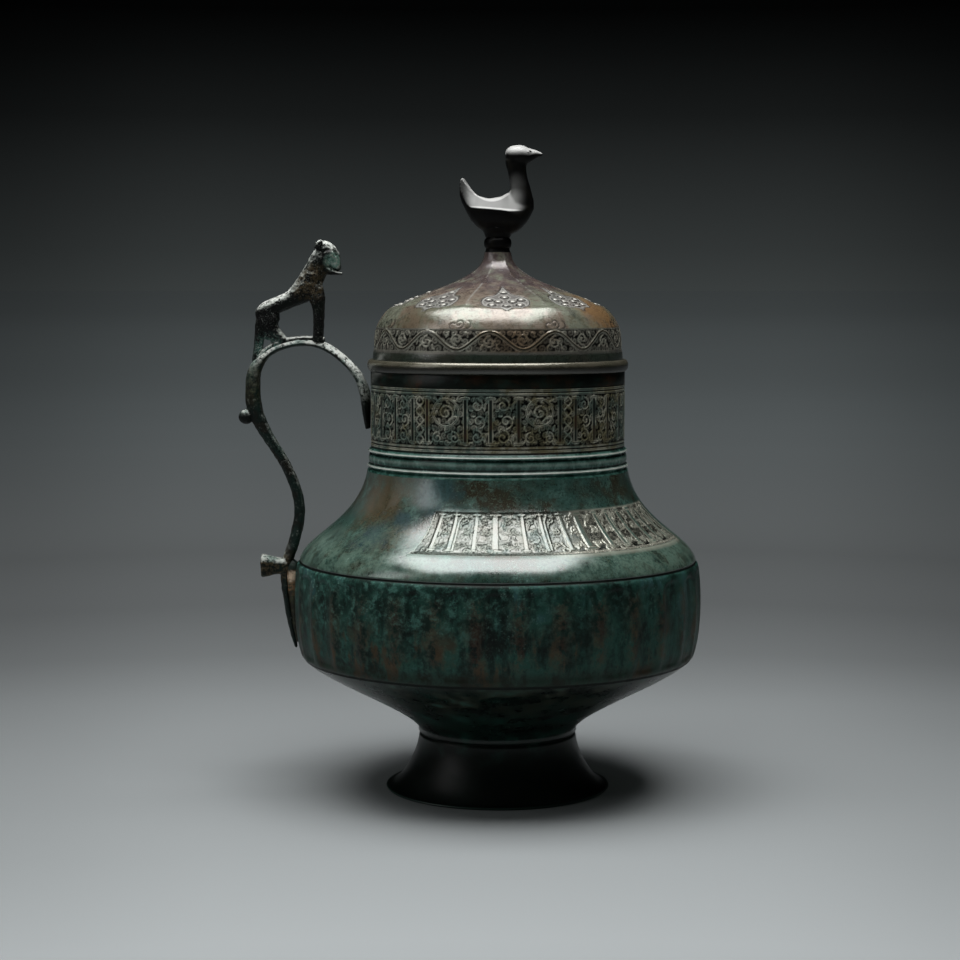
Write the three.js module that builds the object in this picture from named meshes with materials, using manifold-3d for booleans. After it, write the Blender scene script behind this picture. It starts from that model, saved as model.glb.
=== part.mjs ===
// Lidded bronze jug: flared foot, fluted belly, engraved neck, domed lid with a bird, and an S-shaped
// handle that carries a small standing beast. Millimetres, +Z up, the bird faces +X, the handle is on -X.
// The vessel is made of raised sheet sections that lap inside one another at the seams.
import * as THREE from 'three';
import { mergeVertices } from 'three/addons/utils/BufferGeometryUtils.js';
import Module from 'manifold-3d';

const wasm = await Module();
wasm.setup();

// Sheet, seams and clearances
const WALL = 2; // thickness of the vessel's sheet
const GAP = 0.3; // clearance between pieces that are fitted together
const LAP_DEPTH = 4; // how far each seam's tongue reaches into its neighbour
const LAP_WALL = 1.5; // thickness of a seam's tongue

// Foot
const FOOT_RIM_R = 58;
const FOOT_LIP_H = 1.2; // upright edge at the rim
const FOOT_LIP_STEP = 1.5; // the flare starts this far inside the lip
const FOOT_LAND = 3.6; // width of the flat ring that the jug stands on
const FOOT_NECK_R = 40.7;
const FOOT_H = 29.5;
const FOOT_SPLAY = 5.8; // how flat the flare runs out at the rim
const FOOT_STRAIGHT = 11.5; // how long it stays upright below the bowl

// Lower bowl
const BOWL_H = 39;
const BOWL_WAIST = 2; // upright part above the foot's collar
const BOWL_FLOOR = 2; // thickness of the closed bottom
const LOWER_CREASE_R = 99.7;
const BOWL_START_RUN = 5.9;
const BOWL_START_RISE = 10.5;
const BOWL_END_RUN = 11.8;
const BOWL_END_RISE = 10.7;

// Fluted belly
const DRUM_H = 51;
const BELLY_R = 104.9;
const UPPER_CREASE_R = 102.1;
const DRUM_START_RISE = 2.8;
const DRUM_END_DROP = 0.5;
const FLUTES = 32;
const FLUTE_DEPTH = 0.9;
const FLUTE_END_MARGIN = 5; // plain metal left between a flute's end and the seam
const FLUTE_SEGMENTS = 3; // facets across one flute

// Shoulder
const SHOULDER_H = 46;
const SHOULDER_START_RUN = 1.4;
const SHOULDER_START_RISE = 11.7;
const SHOULDER_END_RUN = 4.8;
const SHOULDER_END_DROP = 26.7;

// Neck
const NECK_R = 65.3;
const NECK_H = 51;
const BEADS = 3;
const BEAD_STEP = 1.9; // the lowest bead stands this far outside the neck's wall
const BEAD_PITCH = 3.7;
const BEAD_LOW = 1.1; // plain metal below the lowest bead
const BEAD_H = 0.7; // how far a bead stands out of the hollow beside it

// Lid
const LID_FIT = 0.6; // clearance of the lid's flange in the mouth, all round
const LID_WALL = 1.3;
const FLANGE_DROP = 12; // depth of the flange in the mouth
const FLANGE_LAP = 5.5; // height of the flange inside the lid
const RIM_RING_H = 6;
const RIM_RING_OUT = 2.7; // how far it stands out of the lid's wall
const RIM_RING_FLAT = 0.8; // flat land of the ring, next to the lid's wall
const LID_WALL_H = 20.5; // upright wall, up to the spring of the dome
const LID_TAPER = 1.3; // the wall leans in by this much
const DOME_SHOULDER_R = 51.3; // where the rounded shoulder runs into the flatter cone
const DOME_SHOULDER_H = 13.1;
const DOME_SPRING_RUN = 1.8;
const DOME_SPRING_RISE = 5.7;
const DOME_TURN_RUN = 5.1;
const DOME_CONE_H = 26.9;
const DOME_CONE_RUN = 20.1;
const DOME_CONE_RISE = 9.7;
const DOME_SPIRE_H = 13.2; // how long it stays upright below the collar
const DOME_TOP_R = 8;
const DOME_PLUG = 4; // solid metal at the top, which the tang goes through
const FACETS = 8;
const FACET_SEGMENTS = 8; // straight steps across one facet
const FACET_DEPTH = 0.6; // 0 leaves the cone round, 1 makes it a true prism
const FACET_TURN = 4.7; // degrees from the front to the nearest facet's middle
const FACET_FADE = 10; // height over which the facets grow out of the round shoulder

// Finial
const COLLAR_H = 7.5;
const COLLAR_R = 7;
const COLLAR_NECK_R = 6.1;
const COLLAR_NECK_H = 2;
const COLLAR_FLAT = 0.4; // share of the bead's height that stays upright
const TANG_R = 3;
const ROVE_R = 6;
const ROVE_T = 1.4;
const TANG_HEAD_R = 4.2;
const TANG_HEAD_T = 1.1;
const PEDESTAL_R = 6.3;
const PEDESTAL_H = 4.4;
const PEDESTAL_FLARE = 2.2;
const PEDESTAL_IN_BODY = 4.6; // the stem runs this far up inside the bird

// Handle
const ARCH_OUT = 34.7; // from the neck's wall out to the top of the arch
const ARCH_UP = 14.8; // from the neck's rim up to the middle of the bar there
const BAR_T = 4.4; // thickness of the arch
const HANDLE_W = 8; // breadth across the bar, seen from above
const TAIL_W = 5.5;
const BALL_R = 2.9;
const BALL_SINK = 1.2; // how deep the ball sits in the elbow
const BALL_DROP = 5.2;
const KNOB_LEN = 12.5;
const KNOB_R = 3.7; // at the handle
const KNOB_END_R = 5.2;
const KNOB_OUT = 6.1; // its root, from the belly's side out into the bar
const KNOB_DROP = 4.2; // below the upper seam
const SOLDER_W = 6.5;
const SOLDER_TOP = 3.5; // below the upper seam
const SOLDER_LEN = 33;

// Beast on the handle
const PEG_R = 1.3;
const PEG_DEPTH = 2.2; // into the arch
const PEG_IN_BEAST = 3;

// Facets of the turned pieces
const ROUND = 40;
const ROUND_SMALL = 20;
const LINE_STEPS = 5; // straight steps in a curved outline

// Heights of the seams, worked out from the pieces
const footTop = FOOT_H;
const bowlTop = footTop + BOWL_H;
const drumTop = bowlTop + DRUM_H;
const shoulderTop = drumTop + SHOULDER_H;
const rimZ = shoulderTop + NECK_H;
const lidWallTop = rimZ + LID_WALL_H;
const domeShoulderTop = lidWallTop + DOME_SHOULDER_H;
const domeTop = domeShoulderTop + DOME_CONE_H;
const plugBottom = domeTop - DOME_PLUG;
const collarTop = domeTop + COLLAR_H;

// Radii that follow from their neighbours
const shoulderTopR = NECK_R + BEAD_STEP;
const neckBore = NECK_R - WALL;
const flangeR = neckBore - LID_FIT;
const lidBore = flangeR + GAP;
const lidR = lidBore + LID_WALL;
const rimRingR = lidR + RIM_RING_OUT;
const tangHole = TANG_R + GAP;

function bronze(color, roughness, metalness) {
  return new THREE.MeshStandardMaterial({ color, roughness, metalness });
}
const FINISH = {
  foot: bronze(0x14201d, 0.45, 0.6),
  bowl: bronze(0x16241f, 0.5, 0.6),
  drum: bronze(0x1d3a35, 0.55, 0.5),
  shoulder: bronze(0x3b453c, 0.4, 0.6),
  neck: bronze(0x332c22, 0.5, 0.6),
  handle: bronze(0x26322a, 0.5, 0.6),
  solder: bronze(0xa8826a, 0.45, 0.8),
  lid: bronze(0x5a4a3c, 0.35, 0.8),
  brass: bronze(0x9a8762, 0.35, 0.9),
  bird: bronze(0x1b1a1a, 0.3, 0.7),
};

const at = (r, z) => new THREE.Vector2(r, z);

// Points of a cubic curve from a to d, with b and c as its pulls
function bend(a, b, c, d, steps) {
  return new THREE.CubicBezierCurve(a, b, c, d).getPoints(steps);
}

// The same curve moved inwards by t, with its ends kept level
function inside(points, t) {
  return points.map((p, i) => {
    const before = points[Math.max(i - 1, 0)];
    const after = points[Math.min(i + 1, points.length - 1)];
    const along = after.clone().sub(before).normalize();
    const end = i === 0 || i === points.length - 1;
    return end ? at(p.x - t, p.y) : at(p.x - along.y * t, p.y + along.x * t);
  });
}

// Solid of revolution about +Z: the outline runs up the outside and down the inside
function turned(outline, segments) {
  const shape = new THREE.LatheGeometry(outline, segments);
  shape.rotateX(Math.PI / 2);
  return shape;
}

function ringOutline(points) {
  return [...points, points[0].clone()];
}

// Turned shapes and lofts as closed solids that can be joined and cut
function solidOf(geometry) {
  const bare = geometry.clone();
  bare.deleteAttribute('normal');
  bare.deleteAttribute('uv');
  const merged = mergeVertices(bare, 1e-4);
  const triangles = [];
  const index = merged.index.array;
  for (let i = 0; i < index.length; i += 3) {
    const [a, b, c] = [index[i], index[i + 1], index[i + 2]];
    if (a !== b && b !== c && c !== a) triangles.push(a, b, c);
  }
  return new wasm.Manifold(new wasm.Mesh({
    numProp: 3,
    vertProperties: Float32Array.from(merged.attributes.position.array),
    triVerts: Uint32Array.from(triangles),
  }));
}

function geometryOf(solid) {
  const mesh = solid.getMesh();
  const geometry = new THREE.BufferGeometry();
  geometry.setAttribute('position', new THREE.BufferAttribute(mesh.vertProperties, 3));
  geometry.setIndex(new THREE.BufferAttribute(mesh.triVerts, 1));
  geometry.computeVertexNormals();
  return geometry;
}

// Limb, bar or body along a path in the plane y = 0 (moved sideways by side). A station is
// [x, z, thickness in the plane, breadth across it]. A power of 2 gives round sections,
// more gives squarer ones and less gives sharp edges at the sides.
function loft(stations, { sides = 8, rings = 2, power = 2, side = 0, grow = 0 } = {}) {
  const path = new THREE.CatmullRomCurve3(stations.map(([x, z]) => new THREE.Vector3(x, side, z)));
  const size = new THREE.CatmullRomCurve3(stations.map(([, , t, w]) => new THREE.Vector3(t, w, 0)));
  const count = (stations.length - 1) * rings;
  const vertices = [];
  for (let i = 0; i <= count; i += 1) {
    const p = path.getPoint(i / count);
    const s = size.getPoint(i / count);
    const along = path.getTangent(i / count);
    const stretch = i === 0 ? -grow : i === count ? grow : 0;
    p.addScaledVector(along, stretch);
    for (let k = 0; k < sides; k += 1) {
      const angle = (k / sides) * 2 * Math.PI;
      const [c, n] = [Math.cos(angle), Math.sin(angle)];
      const out = (s.x / 2 + grow) * Math.sign(c) * Math.abs(c) ** (2 / power);
      const across = (s.y / 2 + grow) * Math.sign(n) * Math.abs(n) ** (2 / power);
      vertices.push(p.x - along.z * out, p.y + across, p.z + along.x * out);
    }
  }
  const faces = [];
  for (let i = 0; i < count; i += 1) {
    for (let k = 0; k < sides; k += 1) {
      const [a, b] = [i * sides + k, i * sides + ((k + 1) % sides)];
      faces.push(a, b + sides, b, a, a + sides, b + sides);
    }
  }
  const last = count * sides;
  for (let k = 1; k < sides - 1; k += 1) {
    faces.push(0, k, k + 1, last, last + k + 1, last + k);
  }
  const geometry = new THREE.BufferGeometry();
  geometry.setAttribute('position', new THREE.Float32BufferAttribute(vertices, 3));
  geometry.setIndex(faces);
  return geometry;
}

const join = (parts) => parts.map(solidOf).reduce((all, part) => all.add(part));

// Outer lines of the vessel, each from its lower seam to its upper one
const footLine = bend(
  at(FOOT_RIM_R - FOOT_LIP_STEP, FOOT_LIP_H),
  at(FOOT_RIM_R - FOOT_LIP_STEP - FOOT_SPLAY, 2 * FOOT_LIP_H),
  at(FOOT_NECK_R, footTop - FOOT_STRAIGHT),
  at(FOOT_NECK_R, footTop),
  LINE_STEPS,
);
const bowlLine = bend(
  at(FOOT_NECK_R, footTop + BOWL_WAIST),
  at(FOOT_NECK_R + BOWL_START_RUN, footTop + BOWL_WAIST + BOWL_START_RISE),
  at(LOWER_CREASE_R - BOWL_END_RUN, bowlTop - BOWL_END_RISE),
  at(LOWER_CREASE_R, bowlTop),
  LINE_STEPS,
);
// Halfway up, a cubic curve has an eighth of each end and three eighths of each pull
const drumPull = (BELLY_R - (LOWER_CREASE_R + UPPER_CREASE_R) / 8) / (6 / 8);
const drumLine = bend(
  at(LOWER_CREASE_R, bowlTop),
  at(drumPull, bowlTop + DRUM_START_RISE),
  at(drumPull, drumTop - DRUM_END_DROP),
  at(UPPER_CREASE_R, drumTop),
  LINE_STEPS + 2,
);
const shoulderLine = bend(
  at(UPPER_CREASE_R, drumTop),
  at(UPPER_CREASE_R - SHOULDER_START_RUN, drumTop + SHOULDER_START_RISE),
  at(shoulderTopR + SHOULDER_END_RUN, shoulderTop - SHOULDER_END_DROP),
  at(shoulderTopR, shoulderTop),
  LINE_STEPS + 1,
);

// Inner lines of the walls that a tongue of the next piece reaches into
const drumWall = inside(drumLine, WALL).filter((p, i, all) => i % 2 === 1 || i === 0 || i === all.length - 1);
const shoulderWall = inside(shoulderLine, WALL);

// Radius of a line at a height; the line runs upwards
function radiusAt(line, z) {
  const next = line.findIndex((p) => p.y >= z);
  if (next < 1) return next === 0 ? line[0].x : line[line.length - 1].x;
  const share = (z - line[next - 1].y) / (line[next].y - line[next - 1].y);
  return THREE.MathUtils.lerp(line[next - 1].x, line[next].x, share);
}

// A tongue fits inside the tightest part of the wall that it reaches along
function tongueRadius(wall, low, high) {
  const crossed = wall.filter((p) => p.y > low && p.y < high).map((p) => p.x);
  return Math.min(radiusAt(wall, low), ...crossed, radiusAt(wall, high)) - GAP;
}

function foot() {
  const inner = inside(footLine, WALL).reverse();
  return turned(ringOutline([
    at(FOOT_RIM_R - FOOT_LAND, 0),
    at(FOOT_RIM_R, 0),
    at(FOOT_RIM_R, FOOT_LIP_H),
    ...footLine,
    ...inner.slice(0, -1),
  ]), ROUND);
}

function lowerBowl() {
  const footTongueR = FOOT_NECK_R - WALL - GAP;
  const drumTongueR = tongueRadius(drumWall, bowlTop, bowlTop + LAP_DEPTH);
  const floorZ = footTop + BOWL_FLOOR;
  const inner = inside(bowlLine, WALL).slice(1, -1).reverse();
  return turned([
    at(0, footTop),
    at(footTongueR - LAP_WALL, footTop),
    at(footTongueR - LAP_WALL, footTop - LAP_DEPTH),
    at(footTongueR, footTop - LAP_DEPTH),
    at(footTongueR, footTop),
    at(FOOT_NECK_R, footTop),
    ...bowlLine,
    at(drumTongueR, bowlTop),
    at(drumTongueR, bowlTop + LAP_DEPTH),
    at(drumTongueR - LAP_WALL, bowlTop + LAP_DEPTH),
    at(drumTongueR - LAP_WALL, bowlTop),
    ...inner,
    at(FOOT_NECK_R - WALL, floorZ),
    at(0, floorZ),
  ], ROUND);
}

function bellyDrum() {
  const outline = ringOutline([...drumLine, ...[...drumWall].reverse()]);
  const shape = turned(outline, FLUTES * FLUTE_SEGMENTS);
  const position = shape.attributes.position;
  for (let i = 0; i < position.count; i += 1) {
    const onOutside = i % outline.length < drumLine.length;
    const step = Math.floor(i / outline.length) % FLUTE_SEGMENTS;
    const z = position.getZ(i);
    const inFlute = z > bowlTop + FLUTE_END_MARGIN / 2 && z < drumTop - FLUTE_END_MARGIN;
    if (onOutside && inFlute && step > 0) {
      const radius = Math.hypot(position.getX(i), position.getY(i));
      const scale = (radius - FLUTE_DEPTH) / radius;
      position.setX(i, position.getX(i) * scale);
      position.setY(i, position.getY(i) * scale);
    }
  }
  return shape;
}

function shoulder() {
  const tongueR = tongueRadius(drumWall, drumTop - LAP_DEPTH, drumTop);
  const inner = shoulderWall.slice(1).reverse();
  return turned(ringOutline([
    at(tongueR, drumTop - LAP_DEPTH),
    at(tongueR, drumTop),
    ...shoulderLine,
    ...inner,
    at(tongueR - LAP_WALL, drumTop),
    at(tongueR - LAP_WALL, drumTop - LAP_DEPTH),
  ]), ROUND);
}

function neck() {
  const tongueR = tongueRadius(shoulderWall, shoulderTop - LAP_DEPTH, shoulderTop);
  const beads = [];
  for (let i = 0; i < BEADS; i += 1) {
    const z = shoulderTop + BEAD_LOW + i * BEAD_PITCH;
    const crestR = shoulderTopR - (i * BEAD_STEP) / BEADS;
    beads.push(
      at(crestR - BEAD_H, z),
      at(crestR, z + BEAD_PITCH / 3),
      at(crestR, z + (2 * BEAD_PITCH) / 3),
    );
  }
  const beadTop = shoulderTop + BEAD_LOW + BEADS * BEAD_PITCH;
  return turned(ringOutline([
    at(neckBore, shoulderTop - LAP_DEPTH),
    at(tongueR, shoulderTop - LAP_DEPTH),
    at(tongueR, shoulderTop),
    at(shoulderTopR, shoulderTop),
    ...beads,
    at(NECK_R, beadTop),
    at(NECK_R, rimZ),
    at(neckBore, rimZ),
  ]), ROUND);
}

// Lid: the wall stands on the neck's rim and the flange centres it in the mouth
const lidSpringR = lidR - LID_TAPER;
const lidWallLine = [at(lidR, rimZ), at(lidR, rimZ + RIM_RING_H), at(lidSpringR, lidWallTop)];
const domeShoulderLine = bend(
  at(lidSpringR, lidWallTop),
  at(lidSpringR - DOME_SPRING_RUN, lidWallTop + DOME_SPRING_RISE),
  at(DOME_SHOULDER_R + DOME_TURN_RUN, domeShoulderTop),
  at(DOME_SHOULDER_R, domeShoulderTop),
  LINE_STEPS - 1,
);
const domeConeLine = bend(
  at(DOME_SHOULDER_R, domeShoulderTop),
  at(DOME_SHOULDER_R - DOME_CONE_RUN, domeShoulderTop + DOME_CONE_RISE),
  at(DOME_TOP_R, domeTop - DOME_SPIRE_H),
  at(DOME_TOP_R, domeTop),
  LINE_STEPS,
);

// Pushes the cone's surface out to eight soft edges
function facet(shape) {
  const position = shape.attributes.position;
  const half = Math.PI / FACETS;
  const middle = THREE.MathUtils.degToRad(FACET_TURN - 90);
  for (let i = 0; i < position.count; i += 1) {
    const [x, y, z] = [position.getX(i), position.getY(i), position.getZ(i)];
    const turn = Math.atan2(y, x) - middle;
    const off = turn - 2 * half * Math.round(turn / (2 * half));
    const above = z - domeShoulderTop;
    const grown = THREE.MathUtils.smoothstep(above, -FACET_FADE / 2, FACET_FADE / 2);
    const onTang = Math.hypot(x, y) < tangHole + GAP;
    const scale = onTang ? 1 : 1 + FACET_DEPTH * grown * (1 / Math.cos(off) - 1);
    position.setX(i, x * scale);
    position.setY(i, y * scale);
  }
  return shape;
}

function lidDome() {
  const outer = [...lidWallLine, ...domeShoulderLine.slice(1), ...domeConeLine.slice(1)];
  const inner = inside(outer, LID_WALL).filter((p) => p.y < plugBottom).reverse();
  const plugR = inner[0].x;
  const outline = ringOutline([
    ...outer,
    at(tangHole, domeTop),
    at(tangHole, plugBottom),
    at(plugR, plugBottom),
    ...inner,
  ]);
  return facet(turned(outline, FACETS * FACET_SEGMENTS));
}

function lidRimRing() {
  const bore = lidR + GAP;
  const outline = [at(bore, rimZ)];
  for (let i = 0; i <= LINE_STEPS; i += 1) {
    const angle = -Math.PI / 2 + (Math.PI * i) / LINE_STEPS;
    const reach = rimRingR - bore - RIM_RING_FLAT;
    const r = bore + RIM_RING_FLAT + reach * Math.cos(angle);
    outline.push(at(r, rimZ + (RIM_RING_H / 2) * (1 + Math.sin(angle))));
  }
  outline.push(at(bore, rimZ + RIM_RING_H));
  return turned(ringOutline(outline), ROUND);
}

function lidFlange() {
  return turned(ringOutline([
    at(flangeR - LID_WALL, rimZ - FLANGE_DROP),
    at(flangeR, rimZ - FLANGE_DROP),
    at(flangeR, rimZ + FLANGE_LAP),
    at(flangeR - LID_WALL, rimZ + FLANGE_LAP),
  ]), ROUND);
}

function finialCollar() {
  const beadLow = domeTop + COLLAR_NECK_H;
  const beadH = COLLAR_H - COLLAR_NECK_H;
  return turned(ringOutline([
    at(tangHole, domeTop),
    at(COLLAR_NECK_R + GAP, domeTop),
    at(COLLAR_NECK_R, beadLow),
    at(COLLAR_R, beadLow + (beadH * (1 - COLLAR_FLAT)) / 2),
    at(COLLAR_R, beadLow + (beadH * (1 + COLLAR_FLAT)) / 2),
    at(PEDESTAL_R, collarTop),
    at(tangHole, collarTop),
  ]), ROUND_SMALL);
}

function finialRove() {
  return turned(ringOutline([
    at(tangHole, plugBottom - ROVE_T),
    at(ROVE_R, plugBottom - ROVE_T),
    at(ROVE_R, plugBottom),
    at(tangHole, plugBottom),
  ]), ROUND_SMALL);
}

// Bird: heights are counted from the collar's top, and +X is where it looks
function birdFinial() {
  const up = (stations) => stations.map(([x, z, t, w]) => [x, collarTop + z, t, w]);
  const roveBottom = plugBottom - ROVE_T;
  const stem = turned([
    at(0, roveBottom - TANG_HEAD_T),
    at(TANG_HEAD_R - TANG_HEAD_T, roveBottom - TANG_HEAD_T),
    at(TANG_HEAD_R, roveBottom),
    at(TANG_R, roveBottom),
    at(TANG_R, collarTop),
    at(PEDESTAL_R, collarTop),
    at(PEDESTAL_R + PEDESTAL_FLARE, collarTop + PEDESTAL_H),
    at(TANG_R, collarTop + PEDESTAL_H + PEDESTAL_IN_BODY),
    at(0, collarTop + PEDESTAL_H + PEDESTAL_IN_BODY),
  ], ROUND_SMALL);
  const body = loft(up([
    [-17.4, 16.5, 3, 4], [-13.6, 14, 10, 13], [-6, 12, 15.4, 19], [2, 11.6, 17, 21],
    [8.6, 13.2, 19, 20], [13.6, 15.4, 16, 15], [17.6, 17, 8, 7],
  ]), { sides: 10, rings: 2, power: 1.6 });
  const tail = loft(up([
    [-12.5, 15, 9, 12], [-16, 19, 8, 9], [-17.6, 24.5, 4.6, 5.5], [-18.4, 30, 1.6, 1.8],
  ]), { sides: 8, rings: 2 });
  const throat = loft(up([
    [9, 15, 15, 15], [12.2, 21, 13, 12], [11.2, 27, 10, 9], [9.9, 33, 9.4, 8.4], [9.9, 38, 11, 9.2],
    [11, 42.2, 11.8, 10.4],
  ]), { sides: 10, rings: 2 });
  const head = loft(up([
    [4.6, 40.8, 4, 4], [7.3, 41.2, 9.4, 8.4], [11.2, 41.8, 10.2, 10.2], [15, 42, 7.6, 8],
    [18.4, 42.1, 4.4, 4.4], [22.8, 42, 0.8, 0.8],
  ]), { sides: 10, rings: 2 });
  return geometryOf(join([stem, body, tail, throat, head]));
}

// Handle stations as [outwards, upwards, thickness, breadth]. The upper ones are counted from the neck's
// rim, the next from the belly's upper seam, and the tail's from the belly's side, so the bar follows
// when the vessel changes
const fromRim = ([out, up, t, w]) => [-(NECK_R + out), rimZ + up, t, w];
const fromSeam = ([out, up, t, w]) => [-(UPPER_CREASE_R + out), drumTop + up, t, w];
const fromBelly = ([out, up, t, w]) => [-(radiusAt(drumLine, drumTop + up) + out), drumTop + up, t, w];
const elbow = fromRim([60.3, -18.5, 8.2, HANDLE_W]);
const handleStations = [
  ...[
    [1.5, -30, 2.6, 5], [2.2, -21.5, 4.4, HANDLE_W + 2], [3, -12, 5.6, HANDLE_W + 1],
    [6.1, -3.5, 4.9, HANDLE_W], [11.1, 3, 4.4, HANDLE_W], [18.7, 9.5, 4.3, HANDLE_W],
    [26.5, 13.6, BAR_T, HANDLE_W], [ARCH_OUT, ARCH_UP, BAR_T, HANDLE_W], [45.2, 13, BAR_T, HANDLE_W],
    [54.3, 8.2, 4.8, HANDLE_W], [59.9, -0.5, 7, HANDLE_W], [60.9, -9, 7.8, HANDLE_W],
  ].map(fromRim),
  elbow,
  fromRim([57.6, -26, 7.2, HANDLE_W - 0.5]),
  ...[
    [16.5, 63, 6, HANDLE_W - 1], [7.8, 48.9, 5.4, HANDLE_W - 1.4], [1.6, 33.5, 5.5, HANDLE_W - 1.6],
    [0.5, 22, 5.6, HANDLE_W - 1.6], [3.4, 8.5, 5.7, HANDLE_W - 1.4],
  ].map(fromSeam),
  ...[
    [5.7, -2, 5.6, HANDLE_W - 1.2], [5.7, -10.5, 4.6, TAIL_W + 0.6], [4.6, -22.1, 3.3, TAIL_W],
    [4, -30.5, 2.8, TAIL_W - 0.4], [3.6, -38.9, 2.3, TAIL_W - 1.2], [3.9, -47, 1.2, TAIL_W - 2.8],
  ].map(fromBelly),
];

function handleBar(grow) {
  const bar = loft(handleStations, { sides: 8, rings: 2, power: 3, grow });
  const [bx, bz, bt] = elbow;
  const ball = new THREE.SphereGeometry(BALL_R + grow, 10, 7);
  ball.translate(bx - bt / 2 - BALL_R / 2 + BALL_SINK, 0, bz - BALL_DROP);
  const [knobX, knobZ] = fromBelly([KNOB_OUT, -KNOB_DROP]);
  const knobLen = KNOB_LEN + 2 * grow;
  const knob = new THREE.CylinderGeometry(KNOB_END_R + grow, KNOB_R + grow, knobLen, ROUND_SMALL / 2);
  knob.rotateZ(Math.PI / 2);
  knob.translate(knobX - knobLen / 2, 0, knobZ);
  return join([bar, ball, knob]);
}

// Room that the neck and belly take up, grown by the clearance, which the handle is cut with
const neckRoom = solidOf(turned([
  at(0, shoulderTop),
  at(NECK_R + GAP, shoulderTop),
  at(NECK_R + GAP, rimZ),
  at(0, rimZ),
], ROUND));
const bellyRoom = solidOf(turned([
  at(0, bowlTop),
  ...drumLine.map((p) => at(p.x + GAP, p.y)),
  at(0, drumTop),
], FLUTES * FLUTE_SEGMENTS));

// The two places where the beast is pegged to the arch, as [outwards, upwards] from the rim
const PEG_PLACES = [[26.2, 13.6], [44.5, 13.2]];
const pegs = (r, deep, tall) => PEG_PLACES.map(([out, up]) => {
  const [x, z] = fromRim([out, up]);
  const peg = new THREE.CylinderGeometry(r, r, deep + tall, ROUND_SMALL / 2);
  peg.rotateX(Math.PI / 2);
  peg.translate(x, 0, z + BAR_T / 2 - deep + (deep + tall) / 2);
  return peg;
});

const bareHandle = handleBar(0).subtract(neckRoom).subtract(bellyRoom);

function handle() {
  return geometryOf(bareHandle.subtract(join(pegs(PEG_R + GAP, PEG_DEPTH + GAP, PEG_IN_BEAST))));
}

function handleSolder() {
  const fill = loft([
    [5.2, -SOLDER_TOP, 5, SOLDER_W * 0.8], [2.7, -SOLDER_TOP - SOLDER_LEN / 5, 8, SOLDER_W],
    [2, -SOLDER_TOP - SOLDER_LEN / 2, 6, SOLDER_W * 0.8], [2.2, -SOLDER_TOP - SOLDER_LEN, 4, SOLDER_W / 2],
  ].map(fromBelly), { sides: 8, rings: 2 });
  return geometryOf(solidOf(fill).subtract(handleBar(GAP)).subtract(bellyRoom));
}

// Beast: stations are counted from the top of the arch, -X is its tail end
function handleLion() {
  const fromArch = ([x, z, t, w]) => [x - NECK_R - ARCH_OUT, rimZ + ARCH_UP + BAR_T / 2 + z, t, w];
  const limb = (stations, options) => loft(stations.map(fromArch), options);
  const round = { sides: 8, rings: 1 };
  const torso = limb([
    [-23.5, 10.5, 6, 6], [-19, 13.6, 10.5, 10], [-11, 18.4, 9, 7.6], [-4.4, 21.6, 10.5, 8.2],
    [1.5, 24.8, 13.5, 9.4], [5.6, 31, 11.8, 7.8], [8.6, 38, 9.4, 7], [10.4, 44, 7.5, 6.6],
  ], { sides: 10, rings: 1 });
  const head = limb([
    [6.4, 44.6, 5, 5], [9.4, 45.4, 9.6, 8.6], [13, 44, 10, 8.8], [16.4, 41.2, 7.6, 6.4], [18.4, 38.6, 3.6, 4],
  ], { sides: 10, rings: 1 });
  const jaw = limb([[11, 36.4, 4, 4.6], [16, 34.6, 2.8, 3.6], [20.4, 33.6, 1.4, 2.4]], round);
  const pieces = [torso, head, jaw];
  for (const side of [-1, 1]) {
    pieces.push(
      limb([[8.6, 47.6, 4, 3], [9.6, 50, 3, 2.4], [10.4, 51.6, 1, 1]], { ...round, side: side * 2.8 }),
      limb([
        [5, 24, 9, 5], [7.4, 15, 5.4, 4], [8, 6, 4.6, 3.8], [8.4, 1, 4.8, 4.2], [9, -2.5, 5.4, 4.4],
      ], { ...round, side: side * 2.3 }),
      limb([
        [-19.6, 13.5, 11, 4.6], [-17.2, 8.6, 10.5, 4.6], [-18.6, 4.4, 7.6, 4.2], [-14, 2, 4.4, 4],
        [-9.6, -0.6, 3.8, 4.4],
      ], { ...round, side: side * 2.5 }),
    );
  }
  pieces.push(limb([
    [-20.4, 12.5, 5, 5], [-22.8, 7, 6, 4.4], [-23.2, -1, 6.4, 4.4], [-23.4, -8, 4.6, 3.2],
  ], round));
  const beast = join(pieces).subtract(handleBar(GAP));
  return geometryOf(beast.add(join(pegs(PEG_R, PEG_DEPTH, PEG_IN_BEAST))));
}

const jug = new THREE.Group();
function place(name, geometry, material) {
  const mesh = new THREE.Mesh(geometry, material);
  mesh.name = name;
  jug.add(mesh);
}

place('foot', foot(), FINISH.foot);
place('lower_bowl', lowerBowl(), FINISH.bowl);
place('belly_drum', bellyDrum(), FINISH.drum);
place('shoulder', shoulder(), FINISH.shoulder);
place('neck', neck(), FINISH.neck);
place('handle', handle(), FINISH.handle);
place('handle_solder', handleSolder(), FINISH.solder);
place('handle_lion', handleLion(), FINISH.handle);
place('lid_dome', lidDome(), FINISH.lid);
place('lid_rim_ring', lidRimRing(), FINISH.brass);
place('lid_flange', lidFlange(), FINISH.lid);
place('finial_collar', finialCollar(), FINISH.lid);
place('bird_finial', birdFinial(), FINISH.bird);
place('finial_rove', finialRove(), FINISH.brass);

// The origin is the middle of the bottom of the whole jug, handle included
const reach = new THREE.Box3().setFromObject(jug);
jug.position.x = -(reach.min.x + reach.max.x) / 2;

export default jug;
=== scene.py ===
# Looks of the lidded bronze jug: patina, engraved bands, fluted belly, bird and beast.
# Sizes are in millimetres about the jug's axis, and each piece is placed in metres in its own mesh.
import functools
import math

import bpy
import numpy as np
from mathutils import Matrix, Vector, noise


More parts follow.
